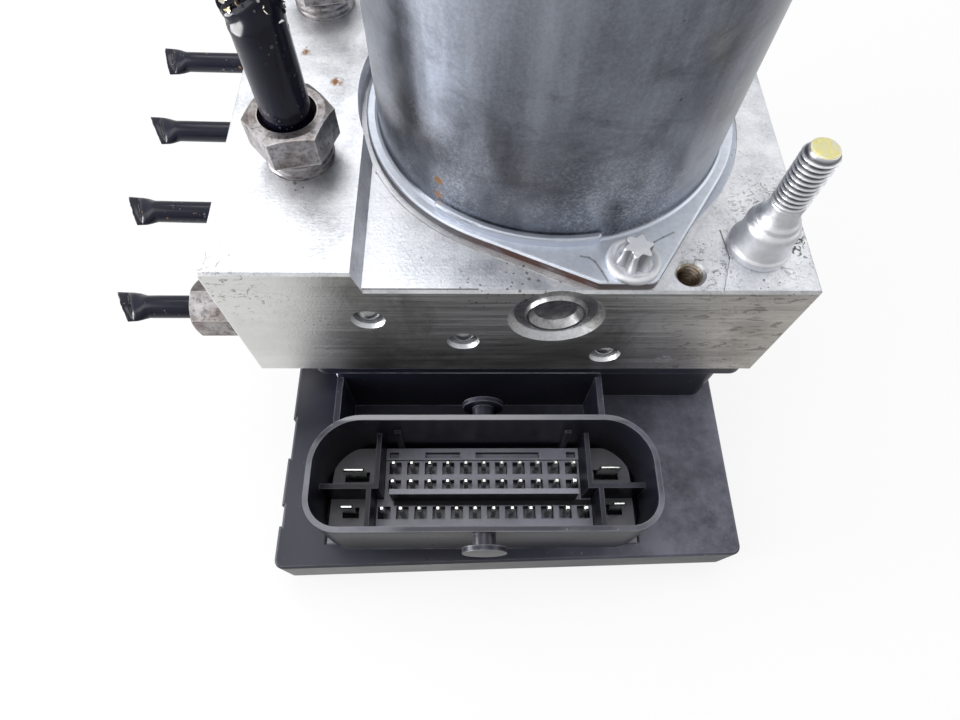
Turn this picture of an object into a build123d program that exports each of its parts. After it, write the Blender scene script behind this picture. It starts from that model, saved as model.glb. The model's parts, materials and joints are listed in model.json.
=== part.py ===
from build123d import *
import os
from math import acos, atan2, cos, hypot, pi, radians, sin

# ABS brake module: a hydraulic block with its pump motor standing on top and its
# electronic control unit (ECU) underneath.
# Millimetres. The origin is on the motor axis at the underside of the ECU cover.
# +Z runs up the motor axis, -Y is the side with the connector and the front pump plug,
# -X is the side with the four wheel pipes.

# ---------------------------------------------------------------- driving dimensions
# aluminium block
BLOCK_LEFT, BLOCK_RIGHT = -63.0, 47.0
BLOCK_HALF_DEPTH = 45.0
BLOCK_BOTTOM = 36.0
FACE_Z = 67.9              # machined face that the motor stands on
LAND_Z = 73.2              # raised land that carries the two master cylinder ports
LAND_TOP_X = -36.9         # upper edge of the step between land and motor face
LAND_FOOT_X = -35.5        # foot of that sloping step
LAND_NOTCH_R = 38.9        # the land is milled back round the motor flange
SKIN_HEIGHT = 0.45         # unmilled skin between the land and a slanting tool mark
SKIN_EDGE = ((-14.9, -45.0), (-21.5, -34.0))
POCKET_GAP = 1.1           # tool mark that follows the motor flange
POCKET_WIDTH = 0.4
POCKET_DEPTH = 0.25
STUD_MARK = ((28.5, -45.0), (31.0, -37.4), (30.4, -31.0))   # tool mark between stud and tapped hole
EDGE_BREAK = 0.5           # small chamfer round the block

# motor
CAN_R = 35.15
CAN_WALL = 2.0
CAN_HEIGHT = 62.0
CAN_DOME = 3.0             # height of the shallow end dome
CAN_EDGE_R = 4.5
REAR_BOSS_R = 11.5
REAR_BOSS_HEIGHT = 5.0
FLANGE_THICK = 2.0
FLANGE_R = 37.7
EAR_SCREW = (12.6, -40.0)  # the other ear is opposite
EAR_CORNERS = ((6.4, -44.3), (16.4, -44.3))
EAR_CORNER_R = 2.4
EAR_SCREW_D = 5.0
CAN_FOOT = ((36.0, 0.0), (35.55, 0.25), (35.25, 0.65), (CAN_R, 1.2))   # flare: radius, height
CAN_RIB_R = (34.4, 36.6)   # raised rib that runs round part of the foot
CAN_RIB_ANGLES = (-128.0, -80.0)
CAN_RIB_HEIGHT = 1.9
SHAFT_D = 8.0
ECCENTRIC_THROW = 1.0
ECCENTRIC_R = 6.0
RING_R = 8.5               # outer radius of the ring that pushes the pump pistons
RUNNING_GAP = 0.03         # radial, shaft in bearing and piston in bore
MAGNET_R = (25.3, 33.0)
MAGNET_ANGLE = 68.0
ARMATURE_R = 24.4
ARMATURE_TEETH = 11
MOTOR_LEAD = (18.5, 0.0)   # where the power strips pass down through the block
COMMUTATOR_R = 9.0

# pump, on the motor axis
PUMP_Z = 58.9
PUMP_STROKE = 2 * ECCENTRIC_THROW
PISTON_R = 4.0
PLUG_R = 8.0
PLUG_DEPTH = 12.0          # depth of the plug's bore from the block face
PLUG_FUNNEL_R = 9.3        # countersunk seat round the plug
CAVITY_R = 12.0

# hydraulic ports, from front to back
WHEEL_PORT_Y = (-37.0, -12.4, 12.4, 37.0)
WHEEL_PORT_Z = 49.5
WHEEL_PIPE_REACH = (25.5, 29.4, 29.8, 32.3)   # how far each cut pipe stands off the block
WHEEL_PIPE_R = 2.38
WHEEL_NUT_AF = 10.4
WHEEL_NUT_R = 4.9
WHEEL_NUT_STAND = 9.8
MC_PORTS = ((-48.1, -18.2), (-48.1, 26.6))
MC_PIPE_R = 4.3
MC_PIPE_TOP = (107.0, 106.0)
MC_NUT_AF = 14.0
MC_NUT_R = 6.2
MC_NUT_TURN = 10.8         # degrees from having its flats along the block
MC_HEX_FOOT, MC_HEX_TOP = 4.1, 10.3     # above the land
MC_MOUTH_R = 5.15
PORT_GAP = 0.08

# stud and the tapped hole beside it
STUD_POS = (37.0, -34.9)
STUD_TOP_Z = 92.4
STUD_R = 3.0
TAPPED_HOLE_POS = (23.5, -40.8)
TAPPED_HOLE_R = 2.5
TAPPED_HOLE_DEPTH = 14.0

# balls pressed into the ends of the drilled passages: x and height
FRONT_BALLS = ((-35.9, 58.0), (-17.8, 49.3), (12.4, 43.2))
REAR_BALLS = ((-35.9, 58.0), (-17.8, 49.3))
BALL_R = 2.9
BALL_SUNK = 0.5            # from the block face to the top of the ball
BALL_MOUTH_R = 3.3
PASSAGE_R = 1.7
PASSAGE_DEPTH = 15.0

# low pressure accumulators, from the right side
ACCUMULATOR_Y = (-22.0, 22.0)
ACCUMULATOR_Z = 51.9
ACCUMULATOR_R = 11.0
ACCUMULATOR_DEPTH = 24.0
ACCUMULATOR_STROKE = 6.0

# solenoid valves, from the underside: inlet column, outlet column
VALVE_X = {"inlet": -30.0, "outlet": -6.0}
VALVE_Y = (-30.2, -10.1, 10.1, 30.2)
VALVE_R = 4.6
VALVE_DEPTH = 11.5
VALVE_TUBE_R = 3.4
VALVE_TUBE_LENGTH = 17.0
PLUNGER_R = 2.6
PLUNGER_TRAVEL = 0.4
COIL_R = 9.0
COIL_HEIGHT = 15.0

# electronic control unit
ECU_LEFT, ECU_RIGHT = -61.0, 46.6
ECU_BACK = 44.0
ECU_FRONT_Y = (-84.6, -81.9)            # the front edge at its left and right ends
ECU_CORNER_R = 2.2
ECU_NOTCHES = ((-58.6, -48.4), (-75.0, -70.2))   # shallow steps in the left edge, from y to y
NOTCH_DEPTH = 0.6
COVER_INSET = 1.2
COVER_THICK = 2.0
SHELF_Z = 14.0             # top of the low part of the housing
SHELF_THICK = 2.4
ECU_WALL = 2.2
NECK_LEFT, NECK_RIGHT = -56.5, 44.0     # upper housing, under the block
NECK_HALF_DEPTH = 42.0
NECK_STEP = (-49.5, -35.0)              # the front left corner stands back to here
NECK_TOP = 35.3
NECK_RIM = 2.5                          # the sealing flange stands out this far
NECK_RIM_HEIGHT = 2.6
BRACE_X = (-46.2, 13.4)                 # ribs between the upper housing and the shroud
BRACE_TOP = 31.0
BULGE_Y = -44.7                         # the wall between those ribs stands forward
TOWERS = ((-44.2, -35.3), (37.0, -35.3), (-49.0, 35.3), (37.0, 35.3))
TOWER_R = 5.2
TOWER_HEAD_R = 4.1
TOWER_HEAD_Z = 8.0

# connector
SHROUD_LEFT, SHROUD_RIGHT = -51.0, 24.1
SHROUD_FRONT, SHROUD_BACK = -80.2, -55.0
SHROUD_TOP = 33.8
SHROUD_WALL = 1.15
SHROUD_BACK_R, SHROUD_FRONT_R = 11.0, 7.5
PIN_SIDE = 1.0
PIN_PITCH = 4.24
PIN_TOP = 20.5
PIN_ROWS = ((-34.3, -61.8, 11), (-34.3, -66.1, 11), (-36.4, -72.4, 12))   # first x, y, count
POCKET_SIDE = 2.9
BLADES = ((-43.3, -63.8, 4.8), (16.4, -63.4, 4.8), (-44.2, -72.3, 2.8), (17.5, -71.8, 2.8))   # x, y, width
BLADE_THICK = 0.8
BLADE_TOP = 21.6
GUIDE_TOP = 15.6
GUIDE_REAR = (-36.6, 10.0)     # x range of the guide round the first two rows
GUIDE_FRONT = (-38.2, 12.3)    # and round the third row
GUIDE_STEP_Y = -69.2
GUIDE_BACK_Y = -57.0
PAD_TOP = 15.2                 # raised pads under the blades
PAD_LEFT, PAD_RIGHT = -49.1, 22.2
PAD_BACK = -56.7
PAD_R = 7.0
GUIDE_LEDGE = 1.2              # how far the guide rests on the shelf round its window
TONGUE_Y = (-69.6, -68.4)
TONGUE_TOP = 22.0
KEY_RIB_TOP = 25.0
KEY_RIB_THICK = 1.2
KEY_RIB_Y = -69.1
POST_X = (-32.9, 6.2)
POST_TOP = 27.0
LEVER_PIN_R = 2.4
LEVER_HEAD_R = 4.6
LEVER_Z = 30.6
BOARD_Z = 5.0
BOARD_THICK = 1.6


# ---------------------------------------------------------------- helpers
def block(x0, x1, y0, y1, z0, z1):
    """A box from its lowest to its highest corner."""
    return Pos(x0, y0, z0) * Box(x1 - x0, y1 - y0, z1 - z0, align=(Align.MIN,) * 3)


def facing(origin, direction):
    """A plane at origin whose normal is direction, with its x axis level."""
    level = (1, 0, 0) if abs(direction[0]) < 0.5 else (0, 1, 0)
    return Plane(origin=origin, x_dir=level, z_dir=direction)


def rod(origin, direction, radius, length):
    """A cylinder from origin along direction."""
    return facing(origin, direction) * Cylinder(radius, length, align=(Align.CENTER, Align.CENTER, Align.MIN))


def pipe_ring(radius_in, radius_out, z0, z1):
    """A plain ring round the Z axis."""
    return rod((0, 0, z0), (0, 0, 1), radius_out, z1 - z0) - rod((0, 0, z0), (0, 0, 1), radius_in, z1 - z0)


def turned(profile, plane=Plane.XY):
    """The solid turned from (radius, height) points round the plane's normal."""
    outline = make_face(Plane.XZ * Polyline(*profile, close=True))
    return plane * revolve(outline, Axis.Z)


def prism(points, z0, z1, corner_r=0.0):
    """An upright prism over a polygon, with its corners rounded."""
    outline = make_face(Polyline(*points, close=True))
    if corner_r:
        outline = fillet(outline.vertices(), corner_r)
    return Pos(0, 0, z0) * extrude(outline, z1 - z0)


def rounded_box(x0, x1, y0, y1, z0, z1, front_r, back_r):
    """An upright box with its vertical edges rounded, front (low y) and back apart."""
    shape = block(x0, x1, y0, y1, z0, z1)
    front = shape.edges().filter_by(Axis.Z).sort_by(Axis.Y)[:2]
    shape = fillet(front, front_r)
    back = shape.edges().filter_by(Axis.Z).sort_by(Axis.Y)[-2:]
    return fillet(back, back_r)


def joined(shapes):
    """One node of several separate solids."""
    return Compound(children=[solid for shape in shapes for solid in shape.solids()])


def coil_spring(radius, wire_r, turns, length, plane):
    """A compression spring with its wire ends cut flat by the two seats."""
    pitch = (length - 2 * wire_r) / turns
    line = Helix(pitch, pitch * turns, radius)
    start = Plane(origin=line @ 0, z_dir=line % 0)
    wire = sweep(start * Circle(wire_r), path=line)
    return plane * (Pos(0, 0, wire_r) * wire)


def hexagon_prism(across_flats, height, chamfer_r):
    """A hexagon bar end from z = 0, turned down to a cone at its top corners."""
    outline = RegularPolygon(across_flats / 2, 6, major_radius=False, rotation=30)
    bar = extrude(outline, height)
    corner = across_flats / 2 / cos(pi / 6)
    slope = (corner - chamfer_r) * 0.5
    cone = turned([(0, -1), (corner + 1, -1), (corner + 1, height - slope - 0.3),
                   (chamfer_r, height), (0, height)])
    return bar & cone


# ---------------------------------------------------------------- hydraulic block
def block_body():
    """The bare block: a box with broken edges and the raised land along its left side."""
    body = block(BLOCK_LEFT, BLOCK_RIGHT, -BLOCK_HALF_DEPTH, BLOCK_HALF_DEPTH, BLOCK_BOTTOM, FACE_Z)
    body = chamfer(body.edges(), EDGE_BREAK)
    section = make_face(Plane.XZ * Polyline(
        (BLOCK_LEFT, FACE_Z - 1), (BLOCK_LEFT, LAND_Z), (LAND_TOP_X, LAND_Z),
        (LAND_FOOT_X, FACE_Z), (LAND_FOOT_X, FACE_Z - 1), close=True))
    land = extrude(section, BLOCK_HALF_DEPTH, both=True)
    left = [edge for edge in land.edges() if edge.center().X < BLOCK_LEFT + 0.01 and edge.center().Z > FACE_Z]
    ends = [edge for edge in land.edges().group_by(Axis.Z)[-1] if abs(edge.center().Y) > BLOCK_HALF_DEPTH - 0.01]
    land = chamfer(left + ends, EDGE_BREAK)
    land -= rod((0, 0, FACE_Z), (0, 0, 1), LAND_NOTCH_R, LAND_Z)
    return body + land + unmilled_skin()


def unmilled_skin():
    """Thin raised area between the land and the slanting tool mark."""
    (front_x, front_y), (back_x, back_y) = SKIN_EDGE
    left = LAND_FOOT_X - 0.5
    skin = prism([(left, front_y + EDGE_BREAK), (front_x, front_y + EDGE_BREAK), (back_x, back_y),
                  (back_x, 0), (left, 0)], FACE_Z - 0.5, FACE_Z + SKIN_HEIGHT)
    return skin - rod((0, 0, FACE_Z - 1), (0, 0, 1), LAND_NOTCH_R, 3)


def tool_marks():
    """Shallow lines that the cutter left round the motor flange and beside the stud."""
    outer = offset(flange_outline(), POCKET_GAP + POCKET_WIDTH, kind=Kind.INTERSECTION)
    ring = outer - offset(flange_outline(), POCKET_GAP, kind=Kind.INTERSECTION)
    ring = Pos(0, 0, FACE_Z - POCKET_DEPTH) * extrude(ring, 2)
    limit = BLOCK_HALF_DEPTH - 1.2
    ring &= block(LAND_FOOT_X + 0.6, 45.5, -limit, limit, FACE_Z - 1, FACE_Z + 1)
    side = Polyline(*STUD_MARK, *[(x + POCKET_WIDTH, y) for x, y in reversed(STUD_MARK)], close=True)
    return [ring, Pos(0, 0, FACE_Z - POCKET_DEPTH) * extrude(make_face(side), 2)]


def hydraulic_block():
    body = block_body()
    cuts = tool_marks()
    # motor cavity and the end bearing under it
    cuts.append(rod((0, 0, 53.5), (0, 0, 1), CAVITY_R, FACE_Z - 53.5 + 1))
    cuts.append(rod((0, 0, 49.5), (0, 0, 1), 5.5, 5))
    for side in (-1, 1):
        face = (0, side * BLOCK_HALF_DEPTH, PUMP_Z)
        inward = (0, -side, 0)
        cuts.append(rod(face, inward, PISTON_R, BLOCK_HALF_DEPTH - CAVITY_R + 1))
        cuts.append(rod(face, inward, PLUG_R, PLUG_DEPTH))
        cuts.append(turned([(0, -1), (PLUG_FUNNEL_R + 0.45, -1), (PLUG_FUNNEL_R, 0), (PLUG_R, 1.4), (0, 1.4)],
                           facing(face, inward)))
    for x, y in MC_PORTS:
        cuts.append(rod((x, y, LAND_Z), (0, 0, -1), MC_NUT_R + PORT_GAP, 13.0))
        cuts.append(rod((x, y, LAND_Z), (0, 0, -1), 2.0, 19.0))
    for y in WHEEL_PORT_Y:
        cuts.append(rod((BLOCK_LEFT, y, WHEEL_PORT_Z), (1, 0, 0), WHEEL_NUT_R + PORT_GAP, 11.0))
        cuts.append(rod((BLOCK_LEFT, y, WHEEL_PORT_Z), (1, 0, 0), 1.6, 16.0))
    for balls, side in ((FRONT_BALLS, -1), (REAR_BALLS, 1)):
        for x, z in balls:
            face = (x, side * BLOCK_HALF_DEPTH, z)
            cuts.append(rod(face, (0, -side, 0), PASSAGE_R, PASSAGE_DEPTH))
            cuts.append(turned([(0, -1), (BALL_MOUTH_R, -1), (BALL_MOUTH_R, 0), (BALL_R, 0.9),
                                (BALL_R, BALL_SUNK + 2 * BALL_R), (0, BALL_SUNK + 2 * BALL_R)],
                               facing(face, (0, -side, 0))))
    for y in ACCUMULATOR_Y:
        mouth = (BLOCK_RIGHT, y, ACCUMULATOR_Z)
        cuts.append(rod(mouth, (-1, 0, 0), ACCUMULATOR_R, ACCUMULATOR_DEPTH))
        cuts.append(rod(mouth, (-1, 0, 0), 1.6, ACCUMULATOR_DEPTH + 5))
    for x in VALVE_X.values():
        for y in VALVE_Y:
            cuts.append(rod((x, y, BLOCK_BOTTOM), (0, 0, 1), VALVE_R, VALVE_DEPTH))
    cuts.append(rod((*STUD_POS, FACE_Z), (0, 0, -1), STUD_R, 11.0))
    cuts.append(rod((*TAPPED_HOLE_POS, FACE_Z), (0, 0, -1), TAPPED_HOLE_R, TAPPED_HOLE_DEPTH))
    cuts.append(turned([(0, 0.01), (TAPPED_HOLE_R + 0.5, 0.01), (TAPPED_HOLE_R, -0.5), (0, -0.5)],
                       Plane(origin=(*TAPPED_HOLE_POS, FACE_Z))))
    for x, y in (EAR_SCREW, (-EAR_SCREW[0], -EAR_SCREW[1])):
        cuts.append(rod((x, y, FACE_Z), (0, 0, -1), EAR_SCREW_D / 2, 13.0))
    for x, y in TOWERS:
        cuts.append(rod((x, y, BLOCK_BOTTOM), (0, 0, 1), 2.0, 7.5))
    # the motor leads pass down through the block
    cuts.append(rod((MOTOR_LEAD[0], MOTOR_LEAD[1], BLOCK_BOTTOM), (0, 0, 1), 3.6, FACE_Z - BLOCK_BOTTOM))
    for cut in cuts:
        body -= cut
    return body


# ---------------------------------------------------------------- pipes, nuts and plugs
def wheel_nut(y):
    """Union nut: hexagon with rounded-over corners outside, threaded stem in the port."""
    head = hexagon_prism(WHEEL_NUT_AF, WHEEL_NUT_STAND - 1.6, WHEEL_NUT_AF / 2 - 0.6)
    stem = rod((0, 0, -7.0), (0, 0, 1), WHEEL_NUT_R, 7.5 + 1.6)
    nut = Pos(0, 0, 1.6) * head + stem
    nut -= rod((0, 0, -8), (0, 0, 1), WHEEL_PIPE_R + PORT_GAP, 30)
    return facing((BLOCK_LEFT, y, WHEEL_PORT_Z), (-1, 0, 0)) * nut


def mc_nut(x, y):
    """Larger union nut, not screwed right home, with a wide countersunk mouth round the pipe."""
    height = MC_HEX_TOP - MC_HEX_FOOT
    head = Rot(0, 0, 30 + MC_NUT_TURN) * hexagon_prism(MC_NUT_AF, height, MC_NUT_AF / 2 - 0.4)
    stem = rod((0, 0, -8.0), (0, 0, 1), MC_NUT_R, 8.0 + MC_HEX_FOOT + 0.2)
    nut = Pos(0, 0, MC_HEX_FOOT) * head + stem
    nut -= rod((0, 0, -9), (0, 0, 1), MC_PIPE_R + PORT_GAP, 30)
    nut -= turned([(0, MC_HEX_TOP - 3.4), (MC_PIPE_R + 0.2, MC_HEX_TOP - 3.4), (MC_MOUTH_R, MC_HEX_TOP - 1.6),
                   (MC_MOUTH_R, MC_HEX_TOP + 2), (0, MC_HEX_TOP + 2)])
    return Pos(x, y, LAND_Z) * nut


def crimped_pipe(radius, seat, reach, pinch, spread, slant, twist):
    """A pipe from its flared seat (below z = 0) to a flattened end that is cut aslant.

    radius  outside radius of the pipe
    seat    length below z = 0, down to the flare
    reach   height of the cut end above z = 0
    pinch   length of the flattened stretch
    spread  half width of the flattened end
    slant   angle of the cut, in degrees
    twist   turn of the flattened end about the pipe, in degrees
    """
    start = reach - pinch
    straight = rod((0, 0, -seat), (0, 0, 1), radius, seat + start)
    flare = turned([(0, -seat), (radius + 1.1, -seat), (radius + 1.5, -seat + 1.2), (radius, -seat + 2.4),
                    (0, -seat + 2.4)])
    thin = radius * 0.42
    sections = [Pos(0, 0, start) * Circle(radius),
                Pos(0, 0, start + pinch * 0.35) * Ellipse(radius * 1.06, radius * 0.86),
                Pos(0, 0, start + pinch * 0.72) * Ellipse(spread * 0.94, thin * 1.25),
                Pos(0, 0, reach + 3) * Ellipse(spread * 1.04, thin * 0.95)]
    end = loft([section.face() for section in sections])
    end -= Pos(0, 0, reach) * Rot(0, slant, 0) * block(-20, 20, -20, 20, 0, 20)
    pipe = straight + flare + Rot(0, 0, twist) * end
    pipe -= rod((0, 0, -seat - 1), (0, 0, 1), radius * 0.66, seat + 1 + start)
    return pipe


def wheel_pipe(index):
    slant = (30, 24, 26, 14)[index]
    plane = Plane(origin=(BLOCK_LEFT, WHEEL_PORT_Y[index], WHEEL_PORT_Z), x_dir=(0, -1, 0), z_dir=(-1, 0, 0))
    seat = 10.9
    return plane * crimped_pipe(WHEEL_PIPE_R, seat, WHEEL_PIPE_REACH[index], 7.0, 3.3, slant, 12)


def mc_pipe(index):
    x, y = MC_PORTS[index]
    seat = 12.9
    pipe = crimped_pipe(MC_PIPE_R, seat, MC_PIPE_TOP[index] - LAND_Z, 7.0, 5.0, -40, 10)
    return Pos(x, y, LAND_Z) * pipe


def pump_plug(side):
    """Staked plug: a flat face round a raised lip with a sunk round middle."""
    deep = PLUG_DEPTH
    profile = [(0, 2.0), (4.1, 2.0), (5.2, 0.5), (5.7, 0.4), (6.1, 1.2), (PLUG_R, 1.5), (PLUG_R, deep),
               (4.9, deep), (4.9, 5.0), (0, 5.0)]
    face = (0, side * BLOCK_HALF_DEPTH, PUMP_Z)
    return turned(profile, facing(face, (0, -side, 0)))


def pump_piston(side):
    """Stepped piston: a plain nose on the eccentric ring and a collar for its spring."""
    nose_y = RING_R + ECCENTRIC_THROW + 0.12
    reach = 22.4
    profile = [(0, 0), (PISTON_R - 1.0, 0), (PISTON_R - RUNNING_GAP, 1.0),
               (PISTON_R - RUNNING_GAP, reach - 3.0), (2.4, reach - 3.0), (2.4, reach), (0, reach)]
    return turned(profile, facing((0, side * nose_y, PUMP_Z), (0, side, 0)))


def pump_spring(side):
    seat_y = RING_R + ECCENTRIC_THROW + 0.12 + 19.4
    end_y = BLOCK_HALF_DEPTH - 5.0
    return coil_spring(3.1, 0.45, 6, end_y - seat_y, facing((0, side * seat_y, PUMP_Z), (0, side, 0)))


def passage_balls():
    """Balls pressed just below the surface, whole as they are in the real block."""
    balls = []
    for places, side in ((FRONT_BALLS, -1), (REAR_BALLS, 1)):
        for x, z in places:
            balls.append(Pos(x, side * (BLOCK_HALF_DEPTH - BALL_SUNK - BALL_R), z) * Sphere(BALL_R))
    return joined(balls)


def accumulator_piston(y):
    profile = [(0, 0), (ACCUMULATOR_R - RUNNING_GAP, 0), (ACCUMULATOR_R - RUNNING_GAP, 2.6), (9.6, 2.6),
               (9.6, 4.8), (ACCUMULATOR_R - RUNNING_GAP, 4.8), (ACCUMULATOR_R - RUNNING_GAP, 9.0),
               (8.6, 9.0), (8.6, 2.0), (0, 2.0)]
    start = BLOCK_RIGHT - ACCUMULATOR_DEPTH + 0.6
    return turned(profile, facing((start, y, ACCUMULATOR_Z), (1, 0, 0)))


def accumulator_spring(y):
    start = BLOCK_RIGHT - ACCUMULATOR_DEPTH + 2.6
    end = BLOCK_RIGHT - 3.4
    return coil_spring(7.2, 0.7, 5, end - start, facing((start, y, ACCUMULATOR_Z), (1, 0, 0)))


def accumulator_cap(y):
    """Pressed cup with a shallow dished middle and a vent hole."""
    profile = [(1.2, 1.5), (6.5, 1.5), (8.6, 0.4), (ACCUMULATOR_R, 0.4), (ACCUMULATOR_R, 3.4), (1.2, 3.4)]
    return turned(profile, facing((BLOCK_RIGHT, y, ACCUMULATOR_Z), (-1, 0, 0)))


def mounting_stud():
    """Turned stud: foot flange, tapered body with a rolled shoulder, collar and thread."""
    top = STUD_TOP_Z - FACE_Z
    profile = [(0, -10.5), (STUD_R - 0.1, -10.5), (STUD_R - 0.1, 0), (5.6, 0), (5.75, 0.35), (5.75, 1.4),
               (5.35, 1.8), (5.1, 2.0), (4.85, 5.4), (4.9, 6.6), (4.6, 7.4), (4.1, 7.8), (3.9, 8.6),
               (3.55, 9.0), (3.1, 9.9), (STUD_R - 0.02, 12.6), (STUD_R, 12.8), (STUD_R, top - 0.9),
               (STUD_R - 0.9, top), (0, top)]
    return turned(profile, Plane(origin=(*STUD_POS, FACE_Z)))


# ---------------------------------------------------------------- motor
def tangent_point(corner, radius, turn):
    """Where the tangent from a corner meets the circle round the motor axis."""
    distance = hypot(*corner)
    angle = atan2(corner[1], corner[0]) + turn * acos(radius / distance)
    return (radius * cos(angle), radius * sin(angle))


def flange_outline():
    left, right = EAR_CORNERS
    ear = make_face(Polyline((0, 0), tangent_point(left, FLANGE_R, -1), left, right,
                             tangent_point(right, FLANGE_R, 1), close=True))
    tips = [v for v in ear.vertices() if v.Y < EAR_CORNERS[0][1] + 0.1]
    ear = fillet(tips, EAR_CORNER_R)
    return Circle(FLANGE_R) + ear + Rot(0, 0, 180) * ear


def arc_rib(radii, angles, z0, z1, end_r):
    """A raised rib that follows a circle between two angles, with rounded ends."""
    middle = sum(radii) / 2
    width = radii[1] - radii[0]
    start, end = [Vector(middle * cos(radians(a)), middle * sin(radians(a))) for a in angles]
    half = radians(sum(angles) / 2)
    line = ThreePointArc(start, (middle * cos(half), middle * sin(half)), end)
    outline = SlotArc(line, width)
    rib = Pos(0, 0, z0) * extrude(outline, z1 - z0)
    return fillet(rib.edges().group_by(Axis.Z)[-1], end_r)


def motor_flange():
    """Stamped end shield: plate with two ears and the bearing cup below."""
    plate = Pos(0, 0, FACE_Z) * extrude(flange_outline(), FLANGE_THICK)
    top = plate.edges().group_by(Axis.Z)[-1]
    plate = fillet(top, 0.5)
    plate -= rod((0, 0, FACE_Z - 1), (0, 0, 1), 9.9, 6)
    cup = turned([(9.5, 65.6), (9.5, 70.6), (11.2, 70.6), (11.2, 64.4), (5.2, 64.4), (5.2, 65.6)])
    for x, y in (EAR_SCREW, (-EAR_SCREW[0], -EAR_SCREW[1])):
        plate -= rod((x, y, FACE_Z - 1), (0, 0, 1), EAR_SCREW_D / 2 + 0.15, 6)
    plate -= rod((MOTOR_LEAD[0], MOTOR_LEAD[1], FACE_Z - 1), (0, 0, 1), 3.5, 6)
    return plate + cup


def motor_screw(x, y):
    """Flanged bolt with an external six-lobe head."""
    z = FACE_Z + FLANGE_THICK
    seat = turned([(0, 0), (4.8, 0), (5.0, 0.35), (4.85, 0.9), (3.9, 1.7), (3.1, 2.0), (0, 2.0)])
    lobes = Circle(2.15)
    for index in range(6):
        lobes += Rot(0, 0, 60 * index + 30) * Pos(2.15, 0) * Ellipse(0.72, 0.62)
    head = Pos(0, 0, 1.8) * extrude(lobes, 3.2)
    shank = rod((0, 0, -13.5), (0, 0, 1), EAR_SCREW_D / 2 - 0.05, 14)
    return Pos(x, y, z) * (seat + head + shank)


def motor_can():
    """Deep drawn can: flared foot with two ribs, rounded shoulder, shallow dome and boss."""
    z0 = FACE_Z + FLANGE_THICK
    shoulder = z0 + CAN_HEIGHT
    outline = can_outline(CAN_R, z0, shoulder, CAN_EDGE_R, REAR_BOSS_R, REAR_BOSS_HEIGHT)
    inner = can_outline(CAN_R - CAN_WALL, z0 - 1, shoulder - CAN_WALL, CAN_EDGE_R - CAN_WALL,
                        REAR_BOSS_R - CAN_WALL, REAR_BOSS_HEIGHT)
    foot = [(CAN_R - 1, 0.0), *CAN_FOOT, (CAN_R - 1, CAN_FOOT[-1][1])]
    outline += turned([(r, z0 + h) for r, h in foot])
    for turn in (0, 180):
        angles = [a + turn for a in CAN_RIB_ANGLES]
        outline += arc_rib(CAN_RIB_R, angles, z0, z0 + CAN_RIB_HEIGHT, 0.5)
    return outline - inner


def can_outline(radius, z0, shoulder, edge_r, boss_r, boss_height):
    """The solid of one skin of the can, from its open end up to the bearing boss."""
    dome = shoulder + CAN_DOME
    profile = [(0, z0), (radius, z0), (radius, shoulder - edge_r), (radius - edge_r, shoulder),
               (boss_r + 8, dome), (boss_r + 0.8, dome), (boss_r, dome + boss_height), (0, dome + boss_height)]
    shape = turned(profile)
    rims = [e for e in shape.edges().filter_by(GeomType.CIRCLE) if edge_r > 0.5 and e.radius > boss_r - 0.1]
    shoulder_rims = [e for e in rims if shoulder - edge_r - 0.01 < e.center().Z < dome + 0.01]
    return fillet(shoulder_rims, min(edge_r, 2.4))


def shaft_bearings():
    """Rear bearing in the can, front bearing in the end shield, end bush in the block."""
    rear_z = FACE_Z + FLANGE_THICK + CAN_HEIGHT + CAN_DOME - CAN_WALL + 0.2
    gap = SHAFT_D / 2 + RUNNING_GAP
    races = [(gap, REAR_BOSS_R - CAN_WALL - 0.02, rear_z, rear_z + 4.0), (gap, 9.48, 65.6, 70.6),
             (3.0 + RUNNING_GAP, 5.5, 49.6, 53.4)]
    return joined([bearing_ring(*race) for race in races])


def bearing_ring(bore_r, outer_r, z0, z1):
    """A shielded ball bearing drawn as one ring, with the shield sunk between its races."""
    wall = (outer_r - bore_r) * 0.28
    profile = [(bore_r, z0), (bore_r + wall, z0), (bore_r + wall, z0 + 0.5), (outer_r - wall, z0 + 0.5),
               (outer_r - wall, z0), (outer_r, z0), (outer_r, z1), (outer_r - wall, z1),
               (outer_r - wall, z1 - 0.5), (bore_r + wall, z1 - 0.5), (bore_r + wall, z1), (bore_r, z1)]
    return turned(profile)


def motor_shaft():
    """Shaft with the pump eccentric and a smaller journal for the end bush."""
    top = FACE_Z + FLANGE_THICK + CAN_HEIGHT + CAN_DOME + 2.4
    shaft = rod((0, 0, 63.4), (0, 0, 1), SHAFT_D / 2, top - 63.4)
    shaft += rod((ECCENTRIC_THROW, 0, 54.2), (0, 0, 1), ECCENTRIC_R, 9.4)
    shaft += rod((0, 0, 50.0), (0, 0, 1), 3.0, 4.4)
    return shaft


def eccentric_ring():
    inner = ECCENTRIC_R + RUNNING_GAP
    return Pos(ECCENTRIC_THROW, 0, 0) * pipe_ring(inner, RING_R, 55.0, 62.8)


def armature_core():
    """Slotted lamination stack."""
    core = pipe_ring(SHAFT_D / 2, ARMATURE_R, 86.0, 116.0)
    slot = Pos(17.0, 0, 85.0) * Box(9.0, 5.2, 32.0, align=(Align.CENTER, Align.CENTER, Align.MIN))
    mouth = Pos(ARMATURE_R - 1.5, 0, 85.0) * Box(6.0, 1.6, 32.0, align=(Align.CENTER, Align.CENTER, Align.MIN))
    for index in range(ARMATURE_TEETH):
        core -= Rot(0, 0, index * 360 / ARMATURE_TEETH) * (slot + mouth)
    return core


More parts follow.
